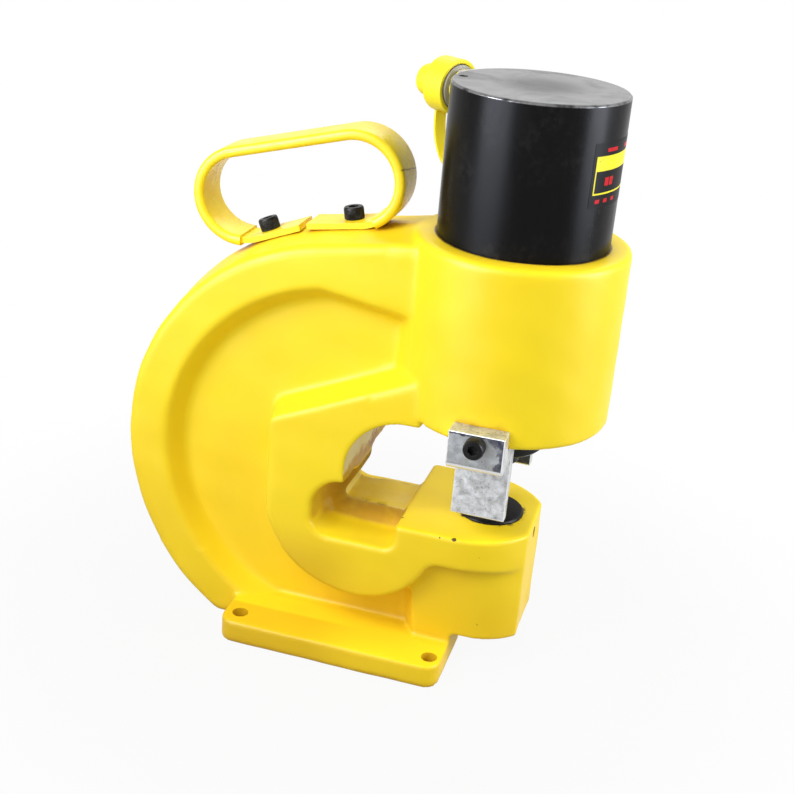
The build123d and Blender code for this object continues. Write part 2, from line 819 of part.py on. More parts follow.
def handle_loop(inner_r, outer_r, front_start, rear_start, front_foot, rear_foot):
    """The outline of the bent bar between two radii of its bends, from foot to foot."""
    front_up = Vector(front_seat.z_dir.X, front_seat.z_dir.Z)
    rear_up = Vector(rear_seat.z_dir.X, rear_seat.z_dir.Z)
    front_on = Vector(front_seat.x_dir.X, front_seat.x_dir.Z)
    rear_on = Vector(rear_seat.x_dir.X, rear_seat.x_dir.Z)
    front = Vector(front_seat.origin.X, front_seat.origin.Z) + front_up * bend_r
    rear = Vector(rear_seat.origin.X, rear_seat.origin.Z) + rear_up * bend_r
    rise = math.degrees(math.atan2(front.Y - rear.Y, front.X - rear.X))
    front_low = top_slope - 90 + front_start
    rear_low = rear_seat_slope + 270 - rear_start
    crown = rise + 90

    def chain(radius):
        begin = Vector(*polar((front.X, front.Y), radius, front_low))
        end = Vector(*polar((rear.X, rear.Y), radius, rear_low))
        over_front = polar((front.X, front.Y), radius, crown)
        over_rear = polar((rear.X, rear.Y), radius, crown)
        side_front = polar((front.X, front.Y), radius, (front_low + crown) / 2)
        side_rear = polar((rear.X, rear.Y), radius, (crown + rear_low) / 2)
        edges = [
            ThreePointArc(begin, side_front, over_front),
            Line(over_front, over_rear),
            ThreePointArc(over_rear, side_rear, end),
        ]
        if front_foot:
            start = begin - front_on * front_foot
            edges.insert(0, Line(start, begin))
            begin = start
        if rear_foot:
            stop = end + rear_on * rear_foot
            edges.append(Line(end, stop))
            end = stop
        return edges, begin, end

    outer, outer_begin, outer_end = chain(outer_r)
    inner, inner_begin, inner_end = chain(inner_r)
    return outline(*outer, Line(outer_end, inner_end), *inner[::-1], Line(inner_begin, outer_begin))


def carry_handle():
    """The flat bar of the handle with its two feet."""
    face = handle_loop(bend_r - strap_thick, bend_r, 0, 0, front_foot_length, rear_foot_length)
    solid = across(face, strap_width / 2)
    for place in handle_screw_places():
        solid -= place * rod(screw_r + screw_hole_clearance, -2 * strap_thick, strap_thick)
    return solid


def handle_grip():
    """The plastic sleeve over the loop of the bar."""
    inner_r = bend_r - strap_thick
    skin = handle_loop(inner_r - grip_wall, bend_r + grip_wall, grip_start, grip_start, 0, 0)
    core = handle_loop(inner_r - fit_clearance, bend_r + fit_clearance, grip_start, grip_start, 0, 0)
    half = strap_width / 2
    return across(skin, half + grip_wall) - across(core, half + fit_clearance)


def handle_screws():
    return Compound([place * socket_screw(handle_screw_length) for place in handle_screw_places()])


def coupler_seal():
    face_z = port_face + seal_washer_thick
    return coupler_plane.location * ring(port_r, seal_washer_r, port_face, face_z)


def coupler_adapter():
    """The nipple between the cylinder's port and the coupler, with a flat of its hexagon on top."""
    hex_low = port_face + seal_washer_thick
    hex_high = hex_low + adapter_hex_length
    half_side_angle = 30
    solid = Rot(0, 0, half_side_angle) * hexagon(adapter_hex, hex_low, hex_high)
    solid += rod(port_r - screw_clearance, port_face - port_depth + seat_gap, hex_low)
    solid += rod(adapter_stud_r, hex_high, hex_high + adapter_stud_length)
    return coupler_plane.location * (solid - rod(passage_r, 0, 2 * hex_high))


def coupler_body():
    """The coupler half: a neck, a collar, the thread for the hose and a smooth tip with the valve's mouth."""
    neck_high = coupler_low + neck_length
    collar_high = neck_high + collar_length
    thread_high = collar_high + coupler_thread_length
    stud_bore_r = adapter_stud_r + screw_clearance
    stud_bore_high = coupler_low + adapter_stud_length + seat_gap
    return coupler_plane.location * turned(
        [
            (stud_bore_r, coupler_low),
            (neck_r, coupler_low),
            (neck_r, neck_high),
            (collar_r, neck_high),
            (collar_r, collar_high),
            (coupler_thread_r, collar_high),
            (coupler_thread_r, thread_high),
            (coupler_tip_r, thread_high),
            (coupler_tip_r, coupler_high),
            (valve_mouth_r, coupler_high),
            (valve_mouth_r, coupler_high - valve_mouth_length),
            (valve_bore_r, coupler_high - valve_mouth_length),
            (valve_bore_r, stud_bore_high),
            (stud_bore_r, stud_bore_high),
        ]
    )


def coupler_poppet():
    """The valve cone that a hose pushes open."""
    head_high = coupler_high - valve_mouth_length - seat_gap
    head_low = head_high - poppet_head_length
    nose_r = valve_mouth_r - poppet_nose_clearance
    return coupler_plane.location * turned(
        [
            (0, head_low - poppet_stem_length),
            (poppet_stem_r, head_low - poppet_stem_length),
            (poppet_stem_r, head_low),
            (valve_bore_r - slide_clearance, head_low),
            (valve_bore_r - slide_clearance, head_high),
            (nose_r, head_high),
            (nose_r, coupler_high - seat_gap),
            (0, coupler_high - seat_gap),
        ]
    )


def coupler_spring():
    head_low = coupler_high - valve_mouth_length - seat_gap - poppet_head_length
    low = coupler_low + adapter_stud_length + 2 * seat_gap + poppet_travel
    high = head_low - seat_gap
    return coupler_plane.location * coil(valve_wire_d, valve_spring_r, low, high, valve_spring_turns)


def dust_cap():
    """The cap over the coupler, with a thinner end to pull it by."""
    inside = coupler_high + seat_gap
    rim = inside - cap_skirt_length
    shoulder = inside + cap_end_thick
    inner_r = coupler_thread_r + cap_clearance
    solid = turned(
        [
            (inner_r, rim),
            (cap_r, rim),
            (cap_r, shoulder),
            (cap_knob_r, shoulder),
            (cap_knob_r, shoulder + cap_knob_length),
            (0, shoulder + cap_knob_length),
            (0, inside),
            (inner_r, inside),
        ]
    )
    skirt = solid.edges().filter_by(GeomType.CIRCLE).filter_by(lambda e: e.radius > cap_r - cap_clearance)
    solid = fillet(skirt.sort_by(Axis.Z)[-1], cap_round)
    knob_end = solid.edges().filter_by(GeomType.CIRCLE).sort_by(Axis.Z)[-1]
    return coupler_plane.location * fillet(knob_end, cap_knob_round)


def cap_strap():
    """The cap's tether: a ring round the coupler's neck and a loop that hangs down to the cap."""
    ring_low = coupler_low + (neck_length - cap_strap_thick) / 2
    ring_high = ring_low + cap_strap_thick
    ring_r = neck_r + slide_clearance
    solid = ring(ring_r, ring_r + cap_ring_wall, ring_low, ring_high)
    cap_side = coupler_high + cap_strap_reach
    cap_low = -cap_r - seat_gap
    turn_x = -cap_r - cap_strap_drop + (cap_side - ring_low) / 2
    middle = (ring_low + cap_side) / 2
    outer = (cap_side - ring_low) / 2
    inner = outer - cap_strap_thick
    neck_side = -ring_r - slide_clearance
    band = outline(
        Polyline((turn_x, middle - outer), (neck_side, middle - outer), (neck_side, middle - inner)),
        Line((neck_side, middle - inner), (turn_x, middle - inner)),
        ThreePointArc((turn_x, middle - inner), (turn_x - inner, middle), (turn_x, middle + inner)),
        Line((turn_x, middle + inner), (cap_low, middle + inner)),
        Polyline((cap_low, middle + inner), (cap_low, middle + outer), (turn_x, middle + outer)),
        ThreePointArc((turn_x, middle + outer), (turn_x - outer, middle), (turn_x, middle - outer)),
    )
    loop = Rot(90, 0, 0) * extrude(band, amount=cap_strap_width / 2, both=True)
    return coupler_plane.location * (solid + loop)


NODES = [
    c_frame,
    cylinder_body,
    piston_ram,
    piston_wear_ring,
    piston_backup_ring,
    piston_seal,
    ram_guide_bush,
    rod_wiper,
    return_spring,
    punch,
    punch_set_screw,
    die,
    die_set_screw,
    near_stripper,
    far_stripper,
    stripper_screws,
    carry_handle,
    handle_grip,
    handle_screws,
    coupler_seal,
    coupler_adapter,
    coupler_body,
    coupler_poppet,
    coupler_spring,
    dust_cap,
    cap_strap,
]

os.makedirs("parts", exist_ok=True)
for make in NODES:
    export_step(make(), f"parts/{make.__name__}.step")
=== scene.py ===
"""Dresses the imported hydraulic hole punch: enamelled casting, black cylinder, plated and blackened
steel, yellow grip, dust cap and a plain studio. Lengths are in metres unless a comment says otherwise."""

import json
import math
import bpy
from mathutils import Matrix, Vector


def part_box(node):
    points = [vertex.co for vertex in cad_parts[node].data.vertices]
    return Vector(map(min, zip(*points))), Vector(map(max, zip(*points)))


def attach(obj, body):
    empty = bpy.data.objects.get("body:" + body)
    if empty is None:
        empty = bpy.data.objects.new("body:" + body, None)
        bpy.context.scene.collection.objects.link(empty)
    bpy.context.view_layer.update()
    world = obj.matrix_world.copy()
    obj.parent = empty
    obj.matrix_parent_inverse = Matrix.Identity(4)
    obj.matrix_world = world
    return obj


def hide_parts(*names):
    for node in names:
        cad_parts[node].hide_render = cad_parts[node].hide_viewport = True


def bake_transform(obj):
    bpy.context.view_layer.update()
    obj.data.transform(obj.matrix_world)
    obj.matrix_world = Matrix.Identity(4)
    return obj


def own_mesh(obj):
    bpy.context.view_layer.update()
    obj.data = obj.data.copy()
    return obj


bl_info = {
    "name": "Hydraulic Hole Punch",
    "version": (1, 0, 0),
    "blender": (4, 5, 0),
    "location": "3D View > Sidebar > Hole Punch",
    "description": "Finishes the hole punch's pieces and sets the studio around it",
    "category": "Object",
}

import bmesh
import bpy
import numpy as np
from bpy.props import FloatProperty, FloatVectorProperty, IntProperty, PointerProperty
from mathutils import Matrix, Vector

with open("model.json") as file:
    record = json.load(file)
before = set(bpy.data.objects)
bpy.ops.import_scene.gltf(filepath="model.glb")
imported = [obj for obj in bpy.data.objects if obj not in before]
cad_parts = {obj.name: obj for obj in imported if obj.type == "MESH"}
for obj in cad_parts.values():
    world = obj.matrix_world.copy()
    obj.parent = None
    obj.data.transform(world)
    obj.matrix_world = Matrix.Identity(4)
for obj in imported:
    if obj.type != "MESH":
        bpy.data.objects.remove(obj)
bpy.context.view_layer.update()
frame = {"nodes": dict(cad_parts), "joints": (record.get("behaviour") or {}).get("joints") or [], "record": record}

MM = 0.001
PHOTO_SIDE = 794
UP = Vector((0, 0, 1))


def joint(name):
    """One of the frame's joints."""
    return next(j for j in frame["joints"] if j["name"] == name)


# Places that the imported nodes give
CYLINDER_LOW, CYLINDER_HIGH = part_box("cylinder_body")
CYLINDER_R = (CYLINDER_HIGH.x - CYLINDER_LOW.x) / 2
CYLINDER_TOP = CYLINDER_HIGH.z
PUNCH_X = (CYLINDER_HIGH.x + CYLINDER_LOW.x) / 2
BOSS_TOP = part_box("c_frame")[1].z
DIE_LOW, DIE_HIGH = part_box("die")
DIE_R = (DIE_HIGH.x - DIE_LOW.x) / 2
DIE_SCREW_LOW, DIE_SCREW_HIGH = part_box("die_set_screw")
STRIPPER_LOW, STRIPPER_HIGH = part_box("near_stripper")
STRIPPER_OUT = max(abs(STRIPPER_LOW.y), abs(STRIPPER_HIGH.y))
STRIPPER_SCREW_LOW, STRIPPER_SCREW_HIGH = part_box("stripper_screws")
STRIPPER_SCREW_Z = (STRIPPER_SCREW_LOW.z + STRIPPER_SCREW_HIGH.z) / 2
ADAPTER_LOW, ADAPTER_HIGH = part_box("coupler_adapter")
COUPLER_START = Vector((PUNCH_X, 0, (ADAPTER_LOW.z + ADAPTER_HIGH.z) / 2))
COUPLER_AXIS = Vector(joint("cap_pull")["axis"]).normalized()
COUPLER_SIDE = UP.cross(COUPLER_AXIS)

# Places that the solids share
FLANGE_TOP = 16.5 * MM
JAW_UNDERSIDE = 23.0 * MM
PLATFORM = DIE_HIGH.z - 2.0 * MM
SLUG_R = 12.5 * MM
NOSE_X = 117.7 * MM
CHEEK_BACK = -57.0 * MM
CHEEK_FACE = 51.0 * MM
CHEEK_ROUND = 3.0 * MM
POCKET_ARC_X, POCKET_ARC_Z, POCKET_ARC_R = -8.0 * MM, 126.5 * MM, 127.5 * MM
POCKET_FRONT = 29.0 * MM
SCOOP_BACK = -25.0 * MM
SCOOP_INSIDE = 18.0 * MM
SCOOP_FLOOR = 84.0 * MM
SCOOP_TOP = 125.0 * MM
THROAT_FLOOR = 99.5 * MM
THROAT_ARC_X, THROAT_ARC_Z, THROAT_ARC_R = 36.0 * MM, 135.0 * MM, 40.0 * MM
FRONT_BEND = Vector((-20.93, 0, 316.475)) * MM
REAR_BEND = Vector((-96.965, 0, 294.767)) * MM
BEND_MIDDLE_R = 29.0 * MM

# The worn ridge on the throat's floor: its half width, its ends, and the slope behind it
RIDGE_HALF = 20.0 * MM
RIDGE_BACK, RIDGE_FRONT = -13.5 * MM, 33.5 * MM
SLOPE_FRONT, SLOPE_TOP = -3.4 * MM, 116.5 * MM

# Corners at the scoops' rear ends: height, then how far the rounding reaches along X and along Z
SCOOP_CORNERS = (
    (SCOOP_TOP, 21.0 * MM, -22.0 * MM),
    (SCOOP_FLOOR, 14.0 * MM, 12.0 * MM),
)

# The wrinkle across the sleeve's front bend: its rise along X and its fall along Y
WRINKLE_RISE, WRINKLE_FALL = 0.31, 0.17

# Seams closer than this are joined
SEAM_GAP = 0.002 * MM

# Socket screws: height of the head and pitch of the thread, and the handle's seats with their directions
HEAD_HEIGHT = 8.0 * MM
SCREW_PITCH = 1.25 * MM
HANDLE_SCREWS = (
    (Vector((-23.577, 0, 288.657)) * MM, Vector((-0.16505, 0, 0.98629))),
    (Vector((-79.981, 0, 272.578)) * MM, Vector((-0.38268, 0, 0.92388))),
)

# The cap strap's ring, as radius and distance along the coupler's axis, in millimetres
STRAP_RING = ((10.05, 62.6), (11.1, 62.6), (11.5, 63.0), (11.5, 63.8), (11.1, 64.2), (10.05, 64.2))

# The cap strap's line: distance along the coupler's axis and height over it, in millimetres
STRAP_LINE = (
    (63.4, -12.0), (63.4, -24.0), (63.3, -36.0), (64.0, -45.0), (66.8, -49.6), (71.0, -47.6),
    (75.6, -41.4), (78.9, -33.0), (80.2, -24.0), (80.2, -16.6),
)

# The label, its yellow box, the box's black field and the red bars: degrees from +X, heights in millimetres
LABEL = (-40.5, 34.0, 326.8, 365.2)
LABEL_BOX = (-38, 32, 334.6, 357.4)
LABEL_FIELD = (-37, 31, 335.6, 348.6)
LABEL_BARS = (
    (-28, -24, 339.5, 344.5),
    (-23, -19, 339.5, 344.5),
    (-29, -18, 359.6, 361.8),
    (-6, 20, 359.6, 361.8),
    (-35, -31, 329.4, 331.8),
    (-27, -23, 329.4, 331.8),
    (-18, -14, 329.4, 331.8),
)

# Chips in the enamel: a place on the surface and a reach, in millimetres
CHIPS = (
    ((73.5, -50.5, 102.4), 2.2),
    ((64.0, -50.8, 101.5), 0.9),
    ((67.5, -61.0, 16.5), 5.8),
    ((34.5, -36.0, 102.0), 1.2),
)

# Flakes on the scoops' inner walls: a place on the surface and a reach, in millimetres
FLAKES = (
    ((-21.5, -22.5, 94.5), 4.2),
    ((-19.5, -21.5, 89.5), 3.0),
)

# The lamps: turn from the camera's side and height in degrees, then distance, width and height
LAMPS = (
    ("left_lamp", -53, 38, 0.70, 0.45, 0.45),
    ("front_lamp", -15, 30, 0.95, 0.60, 0.60),
    ("right_lamp", 79, 25, 0.95, 0.60, 0.70),
    ("back_lamp", 170, 50, 0.95, 0.70, 0.60),
)
LAMP_AIM = Vector((0.02, 0, 0.20))

# The cards that the cylinder reflects: turn from the camera's side in degrees, and width
CARDS = (("left_card", -51, 0.80), ("right_card", 80, 0.55))
CARD_AIM = Vector((PUNCH_X, 0, 0.5))
CARD_DISTANCE, CARD_HEIGHT = 1.2, 0.9

# The floor lies a hair under the casting, so that their faces don't meet. It is full white past GLOW_END
FLOOR_GAP = 0.05 * MM
FLOOR_R = 8.0
GLOW_START, GLOW_END = 0.18, 0.42


def colour_property(name, description, default):
    """A colour that a user may change."""
    return FloatVectorProperty(
        name=name, description=description, default=default, size=3, min=0, max=1, subtype="COLOR"
    )


def length_property(name, description, millimetres):
    """A length that a user may change, given in millimetres and kept in metres."""
    return FloatProperty(
        name=name, description=description, default=millimetres * MM, min=0, unit="LENGTH", precision=5
    )


def passes_property(name, description, default, most):
    """A number of rounding passes that a user may change."""
    return IntProperty(name=name, description=description, default=default, min=0, max=most)


def level_property(name, description, default):
    """A brightness that a user may change."""
    return FloatProperty(name=name, description=description, default=default, min=0)


def power_property(name, watts):
    """A lamp's power that a user may change."""
    return FloatProperty(name=name, description="Power of this lamp", default=watts, min=0, unit="POWER")


def angle_property(name, description, degrees):
    """An angle that a user may change, given in degrees."""
    return FloatProperty(name=name, description=description, default=math.radians(degrees), subtype="ANGLE")


class PunchCastingSettings(bpy.types.PropertyGroup):
    """Enamelled casting."""

    enamel: colour_property("Enamel", "Yellow enamel of casting and bar", (0.95, 0.725, 0.017))
    # Shaded enamel: the deeper yellow of random clouds, and painted shade low on the casting's sides
    cloud_and_shade_enamel: colour_property("Shaded enamel", "Deeper yellow of its clouds", (0.84, 0.54, 0.012))
    # Crease enamel: oily orange, and painted shade in creases, scoops, low cheeks and at the foot of the throat's
    # wall
    oily_shade_enamel: colour_property("Crease enamel", "Oily orange in creases", (0.62, 0.36, 0.010))
    thin_enamel: colour_property("Thin enamel", "Rubbed film in the throat", (0.60, 0.41, 0.075))
    primer: colour_property("Primer", "Tan ground that shows in the throat", (0.68, 0.52, 0.20))
    chalk: colour_property("Chalk", "Pale filler on the throat's round wall", (0.98, 0.92, 0.50))
    rust: colour_property("Rust", "Rusty stain in the throat", (0.42, 0.19, 0.05))
    grime: colour_property("Grime", "Oily dirt at holes and seats", (0.10, 0.055, 0.012))
    bare_iron: colour_property("Bare iron", "Chipped edges of the handle's bar", (0.30, 0.29, 0.28))
    skin: length_property("Skin size", "Size of the casting's surface cells", 1.35)
    soften: passes_property("Soften", "Rounding passes over the cast edges", 3, 40)
    blur: passes_property("Blur", "More passes where the edges are faint", 18, 60)
    hollow: passes_property("Hollow", "Rounding passes in the scoops' ends", 60, 200)
    ripple: length_property("Ripple", "Depth of the cast surface's waves", 0.16)


class PunchCylinderSettings(bpy.types.PropertyGroup):
    """Black cylinder and its plain label."""

    black: colour_property("Black", "Semi-gloss black of the cylinder", (0.0035, 0.0035, 0.0038))
    dust: colour_property("Dust", "Dust and oil film on the black", (0.030, 0.028, 0.026))
    face_centre: colour_property("Face centre", "Dull middle of the end face", (0.035, 0.035, 0.035))
    face_rim: colour_property("Face rim", "Hazy outer part of the end face", (0.13, 0.13, 0.13))
    bare_edge: colour_property("Bare edge", "Steel that shows along the top edge", (0.20, 0.20, 0.20))
    label_black: colour_property("Label black", "Ground of the plain label", (0.006, 0.006, 0.006))
    label_yellow: colour_property("Label yellow", "Field and frame of the plain label", (0.90, 0.80, 0.04))
    label_red: colour_property("Label red", "Bars of the plain label", (0.55, 0.015, 0.02))


class PunchSteelSettings(bpy.types.PropertyGroup):
    """Plated, blackened and bare steel, bronze and seals."""

    # Black oxide: also the painted shade on the strippers' inner faces
    oxide: colour_property("Black oxide", "Blackened screws, die, punch and ram", (0.006, 0.006, 0.0063))
    dull_oxide: colour_property("Dull oxide", "Its clouds", (0.011, 0.0107, 0.0104))
    rubbed_oxide: colour_property("Rubbed oxide", "Steel that shows at its edges", (0.30, 0.29, 0.28))
    zinc: colour_property("Zinc", "Zinc plating of the strippers", (0.60, 0.61, 0.61))
    # Bright zinc: rubbed edges, and a painted highlight along every rounded edge
    rubbed_and_highlight_zinc: colour_property("Bright zinc", "Its rubbed edges", (0.82, 0.83, 0.85))
    dull_zinc: colour_property("Dull zinc", "Its clouds", (0.34, 0.345, 0.34))
    handled_zinc: colour_property("Handled zinc", "Its darker outer faces", (0.20, 0.21, 0.215))
    zinc_speck: colour_property("Zinc specks", "Fine specks in the plating", (0.12, 0.12, 0.13))
    zinc_stain: colour_property("Zinc stain", "Blue-black stain by the edges", (0.018, 0.018, 0.045))
    coupler: colour_property("Coupler", "Plated coupler steel", (0.38, 0.37, 0.34))
    dull_coupler: colour_property("Dull coupler", "Its film", (0.30, 0.29, 0.27))
    spring: colour_property("Spring", "Oil tempered spring wire", (0.16, 0.15, 0.14))
    dull_spring: colour_property("Dull spring", "Its film of oil", (0.08, 0.07, 0.065))
    bronze: colour_property("Bronze", "Turned guide bush", (0.52, 0.35, 0.15))
    dull_bronze: colour_property("Dull bronze", "Its bloom", (0.30, 0.19, 0.08))
    rubber: colour_property("Rubber", "Seals and wiper", (0.012, 0.012, 0.012))
    dull_rubber: colour_property("Dull rubber", "Their film", (0.03, 0.03, 0.03))
    ring: colour_property("Ring plastic", "Wear ring and backup ring", (0.70, 0.64, 0.50))
    dull_ring: colour_property("Dull ring plastic", "Their film", (0.55, 0.49, 0.37))


class PunchPlasticSettings(bpy.types.PropertyGroup):
    """Grip sleeve, dust cap and strap."""

    sleeve: colour_property("Sleeve", "Dipped plastic sleeve of the handle", (0.94, 0.74, 0.02))
    dull_sleeve: colour_property("Dull sleeve", "Duller clouds of the sleeve", (0.90, 0.66, 0.014))
    wrinkle: colour_property("Wrinkle", "Dark wrinkle across the sleeve's bend", (0.20, 0.13, 0.012))
    cap: colour_property("Cap", "Soft plastic of the dust cap and its strap", (0.96, 0.83, 0.025))
    dull_cap: colour_property("Dull cap", "Duller clouds of the cap", (0.94, 0.80, 0.025))


class PunchStageSettings(bpy.types.PropertyGroup):
    """Floor, light and camera."""

    floor: colour_property("Floor", "Pale studio floor", (0.35, 0.35, 0.35))
    floor_glow: level_property("Floor glow", "White of the floor at the object's foot", 0.93)
    ambient: level_property("Ambient", "Light from all around", 0.24)
    left_lamp: power_property("Left lamp", 4.6)
    front_lamp: power_property("Front lamp", 2.2)
    right_lamp: power_property("Right lamp", 8.0)
    back_lamp: power_property("Back lamp", 4.0)
    card: colour_property("Card", "Cool white of the cards in reflections", (0.84, 0.88, 1.0))
    card_strength: level_property("Cards", "Brightness of the cards in reflections", 21.0)
    camera_place: FloatVectorProperty(
        name="Camera place",
        description="Where the camera stands",
        default=(0.217284, -0.793192, 0.528993),
        subtype="TRANSLATION",
    )
    camera_turn: angle_property("Camera turn", "Turn of the view to the left", 14.342)
    camera_tilt: angle_property("Camera tilt", "Tilt of the view downwards", 23.616)
    camera_roll: angle_property("Camera roll", "Roll of the view", 4.997)
    focal_pixels: FloatProperty(
        name="Focal length", description="Focal length in pixels of the picture", default=1335.955, min=1
    )


def group(name):
    """One of this file's groups of settings, from the scene."""
    return getattr(bpy.context.scene, name)


class Shading:
    """The nodes of a material or a world under way: short calls that add nodes and join them."""

    def __init__(self, owner):
        owner.use_nodes = True
        self.nodes = owner.node_tree.nodes
        self.links = owner.node_tree.links

    def node(self, kind, **settings):
        """Adds a node."""
        node = self.nodes.new(kind)
        for key, value in settings.items():
            setattr(node, key, value)
        return node

    def feed(self, socket, value):
        """Joins another node's socket to this one, or sets this one's value."""
        if isinstance(value, bpy.types.NodeSocket):
            self.links.new(value, socket)
        elif hasattr(value, "__len__") and len(value) == 3 and len(socket.default_value) == 4:
            socket.default_value = (*value, 1)
        else:
            socket.default_value = value

    def sum(self, operation, first, second=0.0):
        """The result of a sum of one or two values."""
        node = self.node("ShaderNodeMath", operation=operation)
        self.feed(node.inputs[0], first)
        self.feed(node.inputs[1], second)
        return node.outputs[0]

    def plus(self, first, second):
        """Two values added."""
        return self.sum("ADD", first, second)

    def minus(self, first, second):
        """The second value taken from the first."""
        return self.sum("SUBTRACT", first, second)

    def size_of(self, value):
        """A value without its sign."""
        return self.sum("ABSOLUTE", value)

    def all_of(self, *shares):
        """The product of shares."""
        total = shares[0]
        for share in shares[1:]:
            total = self.sum("MULTIPLY", total, share)
        return total

    def most_of(self, *shares):
        """The largest of shares."""
        most = shares[0]
        for share in shares[1:]:
            most = self.sum("MAXIMUM", most, share)
        return most

    def step(self, value, low, high, from_value=0.0, to_value=1.0):
        """A smooth step of a value between two limits."""
        node = self.node("ShaderNodeMapRange", interpolation_type="SMOOTHSTEP")
        self.feed(node.inputs["Value"], value)
        node.inputs["From Min"].default_value = low
        node.inputs["From Max"].default_value = high
        node.inputs["To Min"].default_value = from_value
        node.inputs["To Max"].default_value = to_value
        return node.outputs["Result"]

    def seen_rays(self):
        """One for camera, glossy and transmission rays."""
        path = self.node("ShaderNodeLightPath").outputs
        return self.most_of(path["Is Camera Ray"], path["Is Glossy Ray"], path["Is Transmission Ray"])


class Finish(Shading):
    """A material under way, by places on the object."""

    def __init__(self, name):
        self.material = bpy.data.materials.new(name)
        super().__init__(self.material)
        self.shader = self.nodes["Principled BSDF"]
        self.place = self.node("ShaderNodeTexCoord").outputs["Object"]

    def set(self, **sockets):
        """Sets the shader's sockets; underscores stand for the spaces in their names."""
        names = {s.name.lower().replace(" ", "_"): s for s in self.shader.inputs}
        for key, value in sockets.items():
            self.feed(names[key], value)

    def stretched(self, scale):
        """The place on the object, drawn out along the axes."""
        node = self.node("ShaderNodeMapping")
        self.feed(node.inputs["Vector"], self.place)
        self.feed(node.inputs["Scale"], scale)
        return node.outputs["Vector"]

    def noise(self, size, detail=4.0, rough=0.55, vector=None, twist=0.0):
        """Fractal noise whose largest lumps are about this size across."""
        node = self.node("ShaderNodeTexNoise")
        self.feed(node.inputs["Vector"], vector or self.place)
        node.inputs["Scale"].default_value = 1 / size
        node.inputs["Detail"].default_value = detail
        node.inputs["Roughness"].default_value = rough
        node.inputs["Distortion"].default_value = twist
        return node.outputs["Fac"]

    def cells(self, size):
        """Distances to the middles of cells of about this size."""
        node = self.node("ShaderNodeTexVoronoi", feature="F1")
        self.feed(node.inputs["Vector"], self.place)
        node.inputs["Scale"].default_value = 1 / size
        return node.outputs["Distance"]

    def mix(self, share, first, second):
        """Two colours mixed."""
        node = self.node("ShaderNodeMix", data_type="RGBA")
        self.feed(node.inputs[0], share)
        self.feed(node.inputs[6], first)
        self.feed(node.inputs[7], second)
        return node.outputs[2]

    def blend(self, share, first, second):
        """Two values mixed."""
        node = self.node("ShaderNodeMix", data_type="FLOAT")
        self.feed(node.inputs[0], share)
        self.feed(node.inputs[2], first)
        self.feed(node.inputs[3], second)
        return node.outputs[0]

    def parts(self, vector=None):
        """The three parts of a vector, or of the place on the object."""
        node = self.node("ShaderNodeSeparateXYZ")
        self.feed(node.inputs[0], vector or self.place)
        return node.outputs

    def facing(self):
        """The direction that the surface faces, as its three parts."""
        return self.parts(self.node("ShaderNodeNewGeometry").outputs["Normal"])

    def ragged(self, value, noise, reach):
        """A value that a noise shifts by up to this reach."""
        return self.plus(value, self.all_of(noise, reach))

    def reach(self, first, second):
        """Distance from where both values are zero."""
        return self.sum("SQRT", self.plus(self.all_of(first, first), self.all_of(second, second)))

    def waves(self, value, pitch):
        """Even waves along a value, as turning marks have them."""
        return self.sum("SINE", self.all_of(value, 2 * math.pi / pitch))

    def radius(self):
        """Distance from the punch's upright axis."""
        x, y, _ = self.parts()
        return self.reach(self.minus(x, PUNCH_X), y)

    def crease_shade(self, reach):
        """One in the open, towards zero in creases and corners within this reach."""
        node = self.node("ShaderNodeAmbientOcclusion", samples=8)
        node.inputs["Distance"].default_value = reach
        return node.outputs["AO"]

    def edges(self, reach):
        """Towards one along sharp edges within this reach."""
        bevel = self.node("ShaderNodeBevel", samples=4)
        bevel.inputs["Radius"].default_value = reach
        geometry = self.node("ShaderNodeNewGeometry")
        dot = self.node("ShaderNodeVectorMath", operation="DOT_PRODUCT")
        self.feed(dot.inputs[0], bevel.outputs["Normal"])
        self.feed(dot.inputs[1], geometry.outputs["Normal"])
        return self.minus(1.0, dot.outputs["Value"])

    def band(self, value, low, high, soft):
        """One between two limits, with soft ends."""
        above = self.step(value, low - soft, low + soft)
        return self.all_of(above, self.step(value, high + soft, high - soft))

    def spot(self, place, reach):
        """One within this reach of a point, with a ragged outline. Both are in millimetres."""
        gap = self.node("ShaderNodeVectorMath", operation="DISTANCE")
        self.feed(gap.inputs[0], self.place)
        gap.inputs[1].default_value = Vector(place) * MM
        reach *= MM
        outline = self.ragged(gap.outputs["Value"], self.noise(reach * 0.8, 4), reach)
        return self.step(outline, reach * 1.35, reach * 1.15)

    def bump(self, height, depth, normal=None, strength=1.0):
        """A normal that a height of this depth tilts."""
        node = self.node("ShaderNodeBump")
        node.inputs["Strength"].default_value = strength
        node.inputs["Distance"].default_value = depth
        self.feed(node.inputs["Height"], height)
        if normal:
            self.feed(node.inputs["Normal"], normal)
        return node.outputs["Normal"]


def wall_film(finish, smear, patchy, far_edge):
    """Chalky filler on the throat's round wall, with rust, and oily enamel with painted shade towards its foot."""
    paint = group("punch_casting")
    _, y, z = finish.parts()
    height = finish.ragged(z, smear, 16 * MM)
    far = finish.step(finish.ragged(y, smear, 6 * MM), 3 * MM, 6 * MM, 0.80, 1.0)
    film = finish.mix(far, paint.primer, paint.chalk)
    # Painted shade with oil: darker orange enamel below the chalk
    film = finish.mix(finish.step(height, 138 * MM, 144 * MM), paint.oily_shade_enamel, film)
    rust = finish.all_of(
        finish.step(patchy, 0.50, 0.60),
        finish.band(height, 132 * MM, 143 * MM, 3 * MM),
        finish.step(y, -6 * MM, 2 * MM),
    )
    film = finish.mix(rust, film, paint.rust)
    film = finish.mix(finish.step(patchy, 0.64, 0.76, 0, 0.7), film, paint.grime)
    return finish.mix(finish.all_of(far_edge, finish.step(height, 146 * MM, 140 * MM)), film, paint.rust)


